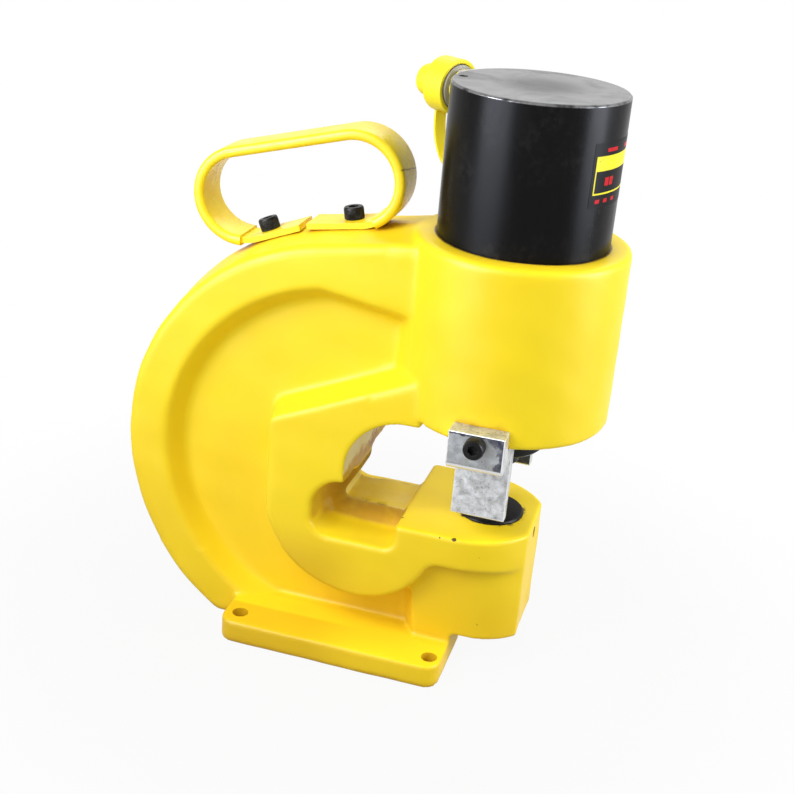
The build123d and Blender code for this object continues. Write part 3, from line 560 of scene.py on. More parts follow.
def floor_film(finish, smear, patchy):
    """Rubbed enamel and primer on the throat's floor, oily towards its sides."""
    paint = group("punch_casting")
    aside = finish.size_of(finish.parts()[1])
    dirt = finish.plus(patchy, finish.step(aside, 8 * MM, 19 * MM, 0.08, 0.42))
    film = finish.mix(finish.step(smear, 0.4, 0.7), paint.thin_enamel, paint.primer)
    return finish.mix(finish.step(dirt, 0.86, 1.06, 0, 0.75), film, paint.grime)


def throat_wear(finish, tint, patchy):
    """Wear in the throat on its round wall and on its floor, and painted light on the slope behind its floor."""
    paint = group("punch_casting")
    x, y, z = finish.parts()
    across, aside, up = finish.facing()
    far_edge = finish.all_of(finish.step(aside, 0.98, 0.85), finish.step(y, 40 * MM, 46 * MM))
    inside = finish.most_of(finish.step(finish.size_of(aside), 0.55, 0.30), far_edge)
    slope = finish.all_of(
        inside,
        finish.step(across, 0.45, 0.70),
        finish.band(x, RIDGE_BACK, SLOPE_FRONT, 0.4 * MM),
        finish.band(z, THROAT_FLOOR, SLOPE_TOP, 1.0 * MM),
    )
    reach = finish.reach(finish.minus(x, THROAT_ARC_X), finish.minus(z, THROAT_ARC_Z))
    wall = finish.all_of(
        inside,
        finish.step(across, 0.10, 0.40),
        finish.step(reach, THROAT_ARC_R + 2.5 * MM, THROAT_ARC_R + 1.2 * MM),
        finish.step(z, THROAT_FLOOR - 3.5 * MM, THROAT_FLOOR + 0.5 * MM),
    )
    floor = finish.all_of(
        finish.step(up, 0.35, 0.60),
        finish.band(x, RIDGE_BACK, RIDGE_FRONT, 0.8 * MM),
        finish.band(y, -RIDGE_HALF, RIDGE_HALF, 1.0 * MM),
        finish.band(z, THROAT_FLOOR - 1.4 * MM, THROAT_FLOOR, 1.2 * MM),
    )
    smear = finish.noise(16 * MM, 4, 0.55)
    # Painted light: a pale tint that lifts the shade on the overhanging slope
    tint = finish.mix(finish.all_of(slope, 0.9), tint, finish.mix(0.4, paint.enamel, paint.chalk))
    tint = finish.mix(finish.all_of(wall, 0.9), tint, wall_film(finish, smear, patchy, far_edge))
    return finish.mix(finish.all_of(floor, 0.92), tint, floor_film(finish, smear, patchy))


def scoop_share(finish):
    """One on the scoops' inner walls, less on their rear ends."""
    x, y, z = finish.parts()
    across, _, up = finish.facing()
    aside = finish.size_of(y)
    rear = finish.all_of(
        finish.step(aside, 50 * MM, 44 * MM), finish.step(finish.minus(across, up), 0.4, 0.8, 0, 0.55)
    )
    return finish.all_of(
        finish.most_of(finish.step(aside, 44 * MM, 20 * MM), rear),
        finish.step(up, 0.95, 0.55),
        finish.band(x, SCOOP_BACK - 2 * MM, RIDGE_FRONT + 0.5 * MM, 2 * MM),
        finish.band(z, SCOOP_FLOOR - 1 * MM, SCOOP_TOP - 3 * MM, 1 * MM),
    )


def scoop_wear(finish, tint, scoop, dirt):
    """Painted shade and oily brown in the scoops, darkest high on their walls and towards the front, with a few
    flakes.
    """
    paint = group("punch_casting")
    x, _, z = finish.parts()
    # Painted shade with oily brown: the scoops browned, darkest high on their walls under the throat's floor and
    # towards the front
    deep_shade = finish.all_of(
        finish.step(z, SCOOP_FLOOR + 2 * MM, THROAT_FLOOR - 1 * MM),
        finish.step(x, -24 * MM, -10 * MM, 0.10, 0.38),
    )
    brown = finish.mix(deep_shade, paint.oily_shade_enamel, paint.grime)
    tint = finish.mix(finish.all_of(scoop, finish.step(dirt, 0.25, 0.60, 0.75, 1.0)), tint, brown)
    for place, reach in FLAKES:
        tint = finish.mix(finish.all_of(finish.spot(place, reach), 0.7), tint, paint.thin_enamel)
    return tint


def enamel_finish():
    """Yellow enamel over a cast skin, worn thin in the throat, with grime and painted shade in its creases, scoops
    and lower sides, and painted light on the throat's slope.
    """
    paint = group("punch_casting")
    finish = Finish("frame_enamel")
    x, y, z = finish.parts()
    up = finish.facing()[2]
    # Painted shade: side-facing enamel darker towards the bottom, mixed with random clouds
    low = finish.all_of(finish.step(z, 170 * MM, 20 * MM, 0, 0.5), finish.step(up, 0.7, 0.3, 0.25, 1))
    film = finish.plus(finish.step(finish.noise(90 * MM, 3), 0.35, 0.75, 0, 0.30), low)
    tint = finish.mix(film, paint.enamel, paint.cloud_and_shade_enamel)
    dirt = finish.noise(12 * MM, 5)
    patches = finish.step(dirt, 0.25, 0.65, 0.45, 1.0)
    # Painted shade with grime: creases that ambient occlusion finds turn oily orange
    crease_shade = finish.all_of(finish.step(finish.crease_shade(11 * MM), 0.88, 0.35), patches)
    tint = finish.mix(crease_shade, tint, paint.oily_shade_enamel)
    # Painted shade: the lower fronts of the cheeks darker
    low_cheek_shade = finish.all_of(
        finish.step(z, 92 * MM, 60 * MM, 0, 0.5),
        finish.step(x, 20 * MM, -20 * MM),
        finish.step(finish.size_of(y), CHEEK_FACE - 5 * MM, CHEEK_FACE - 1 * MM),
    )
    tint = finish.mix(low_cheek_shade, tint, paint.oily_shade_enamel)
    scoop = scoop_share(finish)
    tint = scoop_wear(finish, tint, scoop, dirt)
    specks = finish.all_of(
        finish.step(finish.noise(2.1 * MM, 2, 0.5), 0.76, 0.79),
        finish.step(finish.noise(50 * MM, 2), 0.52, 0.68),
    )
    tint = finish.mix(specks, tint, paint.grime)
    patchy = finish.noise(7 * MM, 5, 0.6)
    tint = throat_wear(finish, tint, patchy)
    radius = finish.radius()
    seat = finish.all_of(
        finish.step(radius, DIE_R + 3.3 * MM, DIE_R + 0.1 * MM),
        finish.step(patchy, 0.50, 0.66),
        finish.band(z, PLATFORM - 12 * MM, PLATFORM + 3 * MM, 1 * MM),
    )
    tint = finish.mix(seat, tint, paint.grime)
    joint_line = finish.all_of(
        finish.step(radius, CYLINDER_R + 1.6 * MM, CYLINDER_R + 0.8 * MM),
        finish.step(z, BOSS_TOP - 4 * MM, BOSS_TOP - 2 * MM),
        patches,
    )
    tint = finish.mix(joint_line, tint, paint.grime)
    for place, reach in CHIPS:
        tint = finish.mix(finish.spot(place, reach), tint, paint.grime)
    gloss = finish.step(finish.noise(30 * MM, 4), 0.3, 0.75, 0.36, 0.48)
    finish.set(base_color=tint, roughness=finish.blend(scoop, gloss, 0.75), specular_ior_level=0.16)
    normal = finish.bump(finish.noise(11 * MM, 3, 0.5), 0.35 * MM, strength=0.45)
    finish.set(normal=finish.bump(finish.noise(2.6 * MM, 2, 0.4), 0.05 * MM, normal, 0.6))
    return finish.material


def bar_finish():
    """The same enamel on the handle's bent bar, a little rubbed at its edges."""
    paint = group("punch_casting")
    finish = Finish("bar_enamel")
    cloud = finish.step(finish.noise(30 * MM, 4), 0.35, 0.75, 0, 0.35)
    tint = finish.mix(cloud, paint.enamel, paint.cloud_and_shade_enamel)
    chips = finish.all_of(
        finish.step(finish.edges(0.8 * MM), 0.08, 0.3), finish.step(finish.noise(5 * MM, 4), 0.58, 0.66)
    )
    tint = finish.mix(chips, tint, paint.bare_iron)
    gloss = finish.step(finish.noise(12 * MM, 4), 0.3, 0.75, 0.24, 0.36)
    normal = finish.bump(finish.noise(3 * MM, 2, 0.4), 0.06 * MM, strength=0.6)
    finish.set(base_color=tint, roughness=gloss, normal=normal, specular_ior_level=0.2)
    return finish.material


def cylinder_finish():
    """Semi-gloss black with a film of oil and dust, bare along its top edge, and a hazy end face."""
    look = group("punch_cylinder")
    finish = Finish("cylinder_black")
    z = finish.parts()[2]
    radius = finish.radius()
    smudge = finish.step(finish.noise(45 * MM, 5, 0.6), 0.48, 0.78)
    dust = finish.all_of(smudge, finish.step(finish.noise(4 * MM, 3), 0.4, 0.7), 0.55)
    side = finish.mix(dust, look.black, look.dust)
    swirl = finish.noise(30 * MM, 4, 0.55, twist=1.0)
    outwards = finish.step(finish.ragged(radius, swirl, 26 * MM), 20 * MM, 48 * MM)
    face = finish.mix(outwards, look.face_centre, look.face_rim)
    face = finish.mix(finish.step(swirl, 0.45, 0.70, 0, 0.35), face, look.black)
    on_face = finish.step(z, CYLINDER_TOP - 0.6 * MM, CYLINDER_TOP - 0.2 * MM)
    edge = finish.all_of(
        finish.step(finish.noise(10 * MM, 4, 0.6), 0.25, 0.60),
        finish.step(z, CYLINDER_TOP - 1.9 * MM, CYLINDER_TOP - 1.2 * MM),
        finish.step(radius, CYLINDER_R - 1.9 * MM, CYLINDER_R - 1.2 * MM),
    )
    tint = finish.mix(edge, finish.mix(on_face, side, face), look.bare_edge)
    streak = finish.noise(20 * MM, 4, 0.55, finish.stretched((1, 1, 0.18)))
    side_gloss = finish.step(streak, 0.3, 0.75, 0.24, 0.34)
    gloss = finish.blend(on_face, side_gloss, finish.step(swirl, 0.3, 0.7, 0.38, 0.50))
    metal = finish.all_of(finish.most_of(edge, on_face), 0.85)
    finish.set(base_color=tint, roughness=gloss, metallic=metal, specular_ior_level=0.07)
    rings = finish.waves(radius, 1.1 * MM)
    normal = finish.bump(finish.all_of(rings, on_face), 0.02 * MM, strength=0.5)
    finish.set(normal=finish.bump(finish.noise(5 * MM, 4, 0.5), 0.08 * MM, normal, 0.40))
    return finish.material


def label_finish():
    """A printed label without words: black with a yellow box, a black field in it and short red bars."""
    look = group("punch_cylinder")
    finish = Finish("label_print")
    x, y, z = finish.parts()
    angle = finish.sum("ARCTAN2", y, finish.minus(x, PUNCH_X))

    def patch(start, end, low, high):
        across = finish.band(angle, math.radians(start), math.radians(end), 0.002)
        return finish.all_of(across, finish.band(z, low * MM, high * MM, 0.1 * MM))

    box = finish.minus(patch(*LABEL_BOX), patch(*LABEL_FIELD))
    tint = finish.mix(box, look.label_black, look.label_yellow)
    for bar in LABEL_BARS:
        tint = finish.mix(patch(*bar), tint, look.label_red)
    rub = finish.step(finish.noise(3 * MM, 4, 0.6), 0.63, 0.70, 0, 0.5)
    finish.set(base_color=finish.mix(rub, tint, look.label_black), roughness=0.36, specular_ior_level=0.05)
    return finish.material


def oxide_finish(name, wear, gloss):
    """Black oxide on steel, oily and rubbed bright at the edges."""
    steel = group("punch_steel")
    finish = Finish(name)
    cloud = finish.noise(8 * MM, 5, 0.6)
    tint = finish.mix(finish.step(cloud, 0.35, 0.75), steel.oxide, steel.dull_oxide)
    rub = finish.all_of(
        finish.step(finish.edges(0.6 * MM), 0.06, 0.30),
        finish.step(finish.noise(4 * MM, 4), 0.35, 0.65),
        wear,
    )
    tint = finish.mix(rub, tint, steel.rubbed_oxide)
    finish.set(base_color=tint, roughness=finish.step(cloud, 0.3, 0.75, gloss, gloss + 0.16))
    normal = finish.bump(finish.noise(1.2 * MM, 3), 0.02 * MM, strength=0.6)
    finish.set(normal=normal, specular_ior_level=0.12)
    return finish.material


def zinc_stain(finish, patch, blotch):
    """One where the stain lies: along the block's top edge, its front edge and the corner between them."""
    x, _, z = finish.parts()
    top_gap = finish.ragged(finish.minus(STRIPPER_HIGH.z, z), blotch, 10 * MM)
    side_gap = finish.ragged(finish.minus(STRIPPER_HIGH.x, x), blotch, 10 * MM)
    near_top = finish.step(top_gap, 7.2 * MM, 6.2 * MM)
    near_corner = finish.step(finish.plus(top_gap, side_gap), 26.0 * MM, 19.0 * MM)
    near_side = finish.all_of(finish.step(side_gap, 10.2 * MM, 8.4 * MM), finish.step(blotch, 0.60, 0.50))
    return finish.all_of(
        finish.most_of(near_top, near_corner, near_side), finish.step(patch, 0.30, 0.55, 1.0, 0.7)
    )


def zinc_finish():
    """Zinc plating, mottled by handling: rubbed edges made bright as a painted highlight, stained outer faces, and
    inner faces darkened as painted shade.
    """
    steel = group("punch_steel")
    finish = Finish("stripper_zinc")
    y = finish.parts()[1]
    facing = finish.facing()
    patch = finish.noise(7 * MM, 6, 0.68, twist=0.5)
    blotch = finish.noise(6 * MM, 5, 0.6)
    tint = finish.mix(finish.step(patch, 0.36, 0.70), steel.zinc, steel.dull_zinc)
    specks = finish.all_of(finish.step(finish.noise(1.8 * MM, 4, 0.7), 0.58, 0.68), 0.7)
    tint = finish.mix(specks, tint, steel.zinc_speck)
    outer = finish.step(finish.size_of(y), STRIPPER_OUT - 0.7 * MM, STRIPPER_OUT - 0.1 * MM)
    handled = finish.all_of(outer, finish.step(patch, 0.30, 0.62, 0.85, 0.45))
    tint = finish.mix(handled, tint, steel.handled_zinc)
    tint = finish.mix(finish.all_of(outer, zinc_stain(finish, patch, blotch)), tint, steel.zinc_stain)
    # Painted shade: the faces that turn inwards, towards the punch, darkened nearly to black oxide
    inner = finish.step(finish.all_of(y, facing[1]), -4 * MM, -12 * MM, 0, 0.85)
    tint = finish.mix(inner, tint, steel.oxide)
    # Painted highlight, with some rubbing: every rounded edge lighter
    edge = finish.step(finish.most_of(*[finish.size_of(part) for part in facing]), 0.992, 0.94)
    tint = finish.mix(edge, tint, steel.rubbed_and_highlight_zinc)
    gloss = finish.blend(edge, finish.step(blotch, 0.3, 0.72, 0.26, 0.50), 0.24)
    finish.set(base_color=tint, roughness=gloss, metallic=0.6, specular_ior_level=0.2)
    height = finish.plus(patch, finish.all_of(finish.cells(4.5 * MM), 0.35))
    finish.set(normal=finish.bump(height, 0.25 * MM, strength=0.5))
    return finish.material


def coupler_finish():
    """Plated coupler steel with a fine grain and a little dull film."""
    steel = group("punch_steel")
    finish = Finish("coupler_steel")
    film = finish.noise(9 * MM, 4, 0.6)
    tint = finish.mix(finish.step(film, 0.4, 0.75, 0, 0.6), steel.coupler, steel.dull_coupler)
    finish.set(base_color=tint, roughness=finish.step(film, 0.3, 0.75, 0.34, 0.50), metallic=0.25)
    finish.set(normal=finish.bump(finish.noise(0.9 * MM, 2), 0.02 * MM, strength=0.5))
    return finish.material


def spring_finish():
    """Oil tempered spring wire, which both springs share."""
    if "spring_wire" in bpy.data.materials:
        return bpy.data.materials["spring_wire"]
    steel = group("punch_steel")
    finish = Finish("spring_wire")
    film = finish.noise(6 * MM, 4)
    tint = finish.mix(finish.step(film, 0.35, 0.7), steel.spring, steel.dull_spring)
    finish.set(base_color=tint, roughness=finish.step(film, 0.3, 0.7, 0.28, 0.45), metallic=0.9)
    finish.set(normal=finish.bump(finish.noise(0.8 * MM, 2), 0.02 * MM, strength=0.4))
    return finish.material


def bronze_finish():
    """Turned bronze with fine rings and a dull bloom."""
    steel = group("punch_steel")
    finish = Finish("guide_bronze")
    bloom = finish.noise(8 * MM, 4)
    tint = finish.mix(finish.step(bloom, 0.4, 0.75), steel.bronze, steel.dull_bronze)
    finish.set(base_color=tint, roughness=finish.step(bloom, 0.3, 0.75, 0.28, 0.45), metallic=0.95)
    rings = finish.waves(finish.parts()[2], 0.7 * MM)
    finish.set(normal=finish.bump(rings, 0.02 * MM, strength=0.5))
    return finish.material


def moulded_finish(name, colour, dull, gloss, grain, shine=0.42, mark=None):
    """Moulded rubber or plastic with a fine grain, a dull film and, where given, a mark."""
    finish = Finish(name)
    film = finish.noise(12 * MM, 4, 0.6)
    tint = finish.mix(finish.step(film, 0.35, 0.75), colour, dull)
    if mark:
        tint = mark(finish, tint)
    gloss = finish.step(film, 0.3, 0.75, gloss, gloss + 0.14)
    finish.set(base_color=tint, roughness=gloss, specular_ior_level=shine)
    finish.set(normal=finish.bump(finish.noise(grain, 2), grain * 0.03, strength=0.3))
    return finish.material


def sleeve_wrinkle(finish, tint):
    """A dark wrinkle across the outer side of the sleeve's front bend."""
    x, y, z = finish.parts()
    ahead = finish.minus(x, FRONT_BEND.x)
    above = finish.minus(z, FRONT_BEND.z)
    reach = finish.reach(ahead, above)
    line = finish.minus(above, finish.all_of(ahead, WRINKLE_RISE))
    line = finish.plus(line, finish.all_of(y, WRINKLE_FALL))
    line = finish.ragged(line, finish.noise(8 * MM, 3), 2 * MM)
    share = finish.all_of(
        finish.step(reach, BEND_MIDDLE_R + 2.0 * MM, BEND_MIDDLE_R + 2.8 * MM),
        finish.step(ahead, 0, 10 * MM),
        finish.band(line, 0.4 * MM, 1.4 * MM, 0.4 * MM),
        0.85,
    )
    return finish.mix(share, tint, group("punch_plastic").wrinkle)


def dress(node, material, edge=0.0, segments=3):
    """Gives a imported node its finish, and softens its sharp edges by this radius."""
    piece = frame["nodes"][node]
    piece.data.materials.clear()
    piece.data.materials.append(material)
    weld = piece.modifiers.new("Weld", "WELD")
    weld.merge_threshold = SEAM_GAP
    flatten = piece.modifiers.new("Flat faces", "DECIMATE")
    flatten.decimate_type = "DISSOLVE"
    flatten.angle_limit = math.radians(0.2)
    if edge:
        bevel = piece.modifiers.new("Soft edges", "BEVEL")
        bevel.width = edge
        bevel.segments = segments
        bevel.limit_method = "ANGLE"
        bevel.angle_limit = math.radians(28)
    normals = piece.modifiers.new("Even shading", "WEIGHTED_NORMAL")
    normals.keep_sharp = False
    piece.data.shade_smooth()


def new_piece(name, mesh, material, body, replaced=()):
    """Puts a finished mesh in the scene as a piece that rides on a body."""
    piece = bpy.data.objects.new(name, mesh)
    bpy.context.scene.collection.objects.link(piece)
    mesh.materials.clear()
    mesh.materials.append(material)
    if body:
        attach(piece, body)
    if replaced:
        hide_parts(*replaced)
    return piece


def welded(node):
    """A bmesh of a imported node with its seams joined."""
    shape = bmesh.new()
    shape.from_mesh(frame["nodes"][node].data)
    bmesh.ops.remove_doubles(shape, verts=shape.verts, dist=SEAM_GAP)
    return shape


def mesh_from(shape, name):
    """A mesh from a bmesh, which is then let go."""
    mesh = bpy.data.meshes.new(name)
    shape.to_mesh(mesh)
    shape.free()
    return mesh


def shaded(mesh, sharp):
    """A mesh with smooth shading, but for edges sharper than this angle in degrees."""
    mesh.shade_smooth()
    mesh.set_sharp_from_angle(angle=math.radians(sharp))
    return mesh


def closed_mesh(shape, name, sharp):
    """A shaded mesh from a closed bmesh, with its faces turned outwards."""
    bmesh.ops.recalc_face_normals(shape, faces=shape.faces)
    return shaded(mesh_from(shape, name), sharp)


def placed(mesh):
    """An object in the scene that carries a mesh."""
    carrier = bpy.data.objects.new(mesh.name, mesh)
    bpy.context.scene.collection.objects.link(carrier)
    return carrier


def discard(carrier):
    """Removes an object and its mesh."""
    mesh = carrier.data
    bpy.data.objects.remove(carrier)
    bpy.data.meshes.remove(mesh)


def baked(mesh, modifiers):
    """What a mesh becomes under modifiers, each given as its kind and its settings."""
    carrier = placed(mesh)
    for kind, settings in modifiers:
        modifier = carrier.modifiers.new(kind.title(), kind)
        for key, value in settings.items():
            setattr(modifier, key, value)
    depsgraph = bpy.context.evaluated_depsgraph_get()
    result = bpy.data.meshes.new_from_object(carrier.evaluated_get(depsgraph))
    discard(carrier)
    return result


def circle_angles(count):
    """Equal turns round a circle."""
    return [2 * math.pi * step / count for step in range(count)]


def skin_rings(shape, rings, closed=False):
    """Joins rings of equally many points to a skin. Its ends are closed, or joined to each other."""
    rows = [[shape.verts.new(point) for point in ring] for ring in rings]
    pairs = list(zip(rows, rows[1:]))
    if closed:
        pairs.append((rows[-1], rows[0]))
    for low, high in pairs:
        for here in range(len(low)):
            after = (here + 1) % len(low)
            shape.faces.new((low[here], low[after], high[after], high[here]))
    if not closed:
        shape.faces.new(rows[0][::-1])
        shape.faces.new(rows[-1])


def smooth_path(points, steps):
    """A smooth line through points, with this many steps between each two."""
    ends = [points[0] * 2 - points[1], *points, points[-1] * 2 - points[-2]]
    line = []
    for before, here, after, beyond in zip(ends, ends[1:], ends[2:], ends[3:]):
        for step in range(steps):
            t = step / steps
            slope = after - before
            bend = 2 * before - 5 * here + 4 * after - beyond
            twist = 3 * here - before - 3 * after + beyond
            line.append(0.5 * (2 * here + slope * t + bend * t * t + twist * t * t * t))
    return line + [points[-1]]


def rounded_section(half_width, half_height, radius, corner_steps=5):
    """The outline of a rounded rectangle as pairs of width and height."""
    outline = []
    for quarter, (side, top) in enumerate(((1, 1), (-1, 1), (-1, -1), (1, -1))):
        for step in range(corner_steps + 1):
            angle = math.pi / 2 * (quarter + step / corner_steps)
            width = side * (half_width - radius) + radius * math.cos(angle)
            outline.append((width, top * (half_height - radius) + radius * math.sin(angle)))
    return outline


def casting_holes():
    """The casting's crisp holes, the slug hole last: radius, start, end and how far a cutter passes them."""
    bolts = next(m for m in frame["record"]["mounts"] if m["name"] == "base_bolts")["dims"]
    half_x = bolts["spacing_x_mm"] / 2 * MM
    half_y = bolts["spacing_y_mm"] / 2 * MM
    holes = [
        (bolts["hole_r_mm"] * MM, (x, y, 0), (x, y, FLANGE_TOP), 4 * MM, 4 * MM)
        for x in (-half_x, half_x)
        for y in (-half_y, half_y)
    ]
    fit = 0.05 * MM
    screw_z = (DIE_SCREW_LOW.z + DIE_SCREW_HIGH.z) / 2
    screw_r = (DIE_SCREW_HIGH.z - DIE_SCREW_LOW.z) / 2 + fit
    holes.append((screw_r, (DIE_HIGH.x + 1 * MM, 0, screw_z), (NOSE_X, 0, screw_z), 4 * MM, 4 * MM))
    holes.append((DIE_R + fit, (PUNCH_X, 0, DIE_LOW.z), (PUNCH_X, 0, PLATFORM), 0, 9 * MM))
    holes.append((SLUG_R, (PUNCH_X, 0, JAW_UNDERSIDE), (PUNCH_X, 0, DIE_LOW.z), 30 * MM, 1 * MM))
    return holes


def add_rod(shape, radius, start, end):
    """Adds a closed cylinder between two points to a bmesh."""
    turn = (end - start).to_track_quat("Z", "Y").to_matrix().to_4x4()
    place = Matrix.Translation((start + end) / 2) @ turn
    depth = (end - start).length
    bmesh.ops.create_cone(
        shape, cap_ends=True, segments=96, radius1=radius, radius2=radius, depth=depth, matrix=place
    )


def add_plugs(shape, holes):
    """Adds a plug for each hole to the casting's bmesh, a little wider than the hole."""
    for radius, start, end, _, _ in holes:
        add_rod(shape, radius + 0.8 * MM, Vector(start), Vector(end))


def hole_cutter(holes):
    """An object that cuts holes, running past their ends."""
    shape = bmesh.new()
    for radius, start, end, before, after in holes:
        along = (Vector(end) - Vector(start)).normalized()
        add_rod(shape, radius, Vector(start) - along * before, Vector(end) + along * after)
    return placed(mesh_from(shape, "casting_cutter"))


def add_scoop_fillings(shape):
    """Adds fillings that round the corners at the scoops' rear ends, with a rounded edge on the cheek."""
    edge = [(SCOOP_INSIDE, 0.0)]
    for turn in (math.radians(degrees) for degrees in (0, 30, 60, 90)):
        edge.append((CHEEK_FACE - CHEEK_ROUND * (1 - math.sin(turn)), CHEEK_ROUND * (1 - math.cos(turn))))
    arc = [math.radians(90 * step / 16) for step in range(17)]
    for corner_z, along, up in SCOOP_CORNERS:
        middle_x, middle_z = SCOOP_BACK + along, corner_z + up
        past_x = SCOOP_BACK - 1.5 * CHEEK_ROUND
        past_z = corner_z - math.copysign(1.5 * CHEEK_ROUND, up)
        for side in (-1, 1):
            rings = []
            for depth, widen in edge:
                reach_x, reach_z = along + widen, up + math.copysign(widen, up)
                ring = [(middle_x - reach_x * math.cos(a), middle_z - reach_z * math.sin(a)) for a in arc]
                ring += [(middle_x, past_z), (past_x, past_z), (past_x, middle_z)]
                rings.append([(x, side * depth, z) for x, z in ring])
            skin_rings(shape, rings)


def between(values, low, high):
    """Which values lie between two limits."""
    return (values > low) & (values < high)


def ramp(values, start, end):
    """Zero at the start and one at the end, in a straight line."""
    return np.clip((values - start) / (end - start), 0, 1)


def crisp_edges(points):
    """Which points lie along the rim's inner edge, where the cast edge is crisp."""
    x, y, z = points.T
    reach = np.hypot(x - POCKET_ARC_X, z - POCKET_ARC_Z)
    inside = (reach < POCKET_ARC_R + 5 * MM) & (x < POCKET_FRONT + 4 * MM)
    return inside & between(np.abs(y), 36 * MM, 41 * MM)


def faint_edges(points):
    """How far each point gives way where cast edges are faint: cheeks' backs, throat and boss."""
    x, y, z = points.T
    side = np.abs(y)
    back = (x < CHEEK_BACK + 12 * MM) & (side > 30 * MM) & (z > 45 * MM)
    back = back * ramp(z, 152 * MM, 140 * MM)
    corner = (side < 32 * MM) & between(x, -30 * MM, 4 * MM) & between(z, 80 * MM, 124 * MM)
    boss = (side > 22 * MM) & between(x, 8 * MM, 48 * MM) & between(z, 178 * MM, BOSS_TOP - 8 * MM)
    return 0.5 * np.maximum.reduce([back, corner, boss])


def hollow_ends(points):
    """How far each point gives way in the scoops' rear ends, which are rounded to bowls."""
    x, y, z = points.T
    side = np.abs(y)
    share = ramp(side, 48 * MM, 40 * MM) * ramp(side, 16 * MM, 19 * MM)
    share *= ramp(x, -30 * MM, -27 * MM) * ramp(x, 2 * MM, -6 * MM)
    return 0.5 * share * ramp(z, 80 * MM, 83 * MM) * ramp(z, 124 * MM, 121 * MM)


def rows_of(items, key, width, kind=float):
    """One value of each of a mesh's items, as rows of numbers."""
    rows = np.zeros(len(items) * width, kind)
    items.foreach_get(key, rows)
    return rows.reshape(-1, width)


def smooth_rows(points, pairs, weights, passes):
    """Moves each point towards the mean of its neighbours, by its weight."""
    count = np.bincount(pairs.ravel(), minlength=len(points)).astype(float)
    for _ in range(passes):
        total = np.zeros_like(points)
        for axis in range(3):
            total[:, axis] = np.bincount(pairs[:, 0], points[pairs[:, 1], axis], len(points))
            total[:, axis] += np.bincount(pairs[:, 1], points[pairs[:, 0], axis], len(points))
        mean = total / count[:, None]
        points += weights[:, None] * (mean - points)
    return points


def casting_waves(points, depth):
    """A slight unevenness for each point, as the sum of a few long waves."""
    chance = np.random.default_rng(11)
    waves = 9
    height = np.zeros(len(points))
    for _ in range(waves):
        direction = chance.normal(size=3)
        direction /= np.linalg.norm(direction)
        wavelength = chance.uniform(17 * MM, 48 * MM)
        height += np.sin(points @ direction * 2 * math.pi / wavelength + chance.uniform(0, 2 * math.pi))
    return height * depth / math.sqrt(waves)


def casting_mesh():
    """The casting with soft cast edges: plugged, given a fine skin, smoothed, then bored again."""
    settings = group("punch_casting")
    holes = casting_holes()
    shape = welded("c_frame")
    add_plugs(shape, holes)
    add_scoop_fillings(shape)
    skin = {"mode": "VOXEL", "voxel_size": settings.skin}
    mesh = baked(mesh_from(shape, "casting_rough"), [("REMESH", skin)])
    points = rows_of(mesh.vertices, "co", 3)
    pairs = rows_of(mesh.edges, "vertices", 2, int)
    points = smooth_rows(points, pairs, np.full(len(points), 0.5), 1)
    points = smooth_rows(points, pairs, np.where(crisp_edges(points), 0.0, 0.5), settings.soften - 1)
    points = smooth_rows(points, pairs, faint_edges(points), settings.blur)
    points = smooth_rows(points, pairs, hollow_ends(points), settings.hollow)
    normals = rows_of(mesh.vertex_normals, "vector", 3)
    points += normals * casting_waves(points, settings.ripple)[:, None]
    mesh.vertices.foreach_set("co", points.ravel())
    cutters = [hole_cutter(holes[:-1]), hole_cutter(holes[-1:])]
    cut = {"operation": "DIFFERENCE", "solver": "MANIFOLD"}
    mesh = baked(mesh, [("BOOLEAN", {"object": cutter, **cut}) for cutter in cutters])
    for cutter in cutters:
        discard(cutter)
    return shaded(mesh, 48)


class PUNCH_OT_casting(bpy.types.Operator):
    """Rounds the casting's cast edges and enamels it"""

    bl_idname = "punch.casting"
    bl_label = "Casting"

    def execute(self, context):
        new_piece("casting", casting_mesh(), enamel_finish(), "frame", ["c_frame"])
        return {"FINISHED"}


class PUNCH_OT_cylinder(bpy.types.Operator):
    """Finishes the black cylinder and its label"""

    bl_idname = "punch.cylinder"
    bl_label = "Cylinder"

    def execute(self, context):
        dress("cylinder_body", cylinder_finish(), 0.7 * MM, 4)
        new_piece("label", self.label_mesh(), label_finish(), "frame")
        return {"FINISHED"}

    def label_mesh(self):
        """A thin sheet round a part of the cylinder."""
        start, end, low, high = LABEL
        axis = Vector((PUNCH_X, 0, 0))
        bottom, top = UP * low * MM, UP * high * MM
        inner_r, outer_r = CYLINDER_R + 0.01 * MM, CYLINDER_R + 0.13 * MM
        steps = 48
        rings = []
        for step in range(steps + 1):
            angle = math.radians(start + (end - start) * step / steps)
            out = Vector((math.cos(angle), math.sin(angle), 0))
            inner = axis + out * inner_r
            outer = axis + out * outer_r
            rings.append([inner + bottom, outer + bottom, outer + top, inner + top])
        shape = bmesh.new()
        skin_rings(shape, rings)
        return closed_mesh(shape, "label", 40)


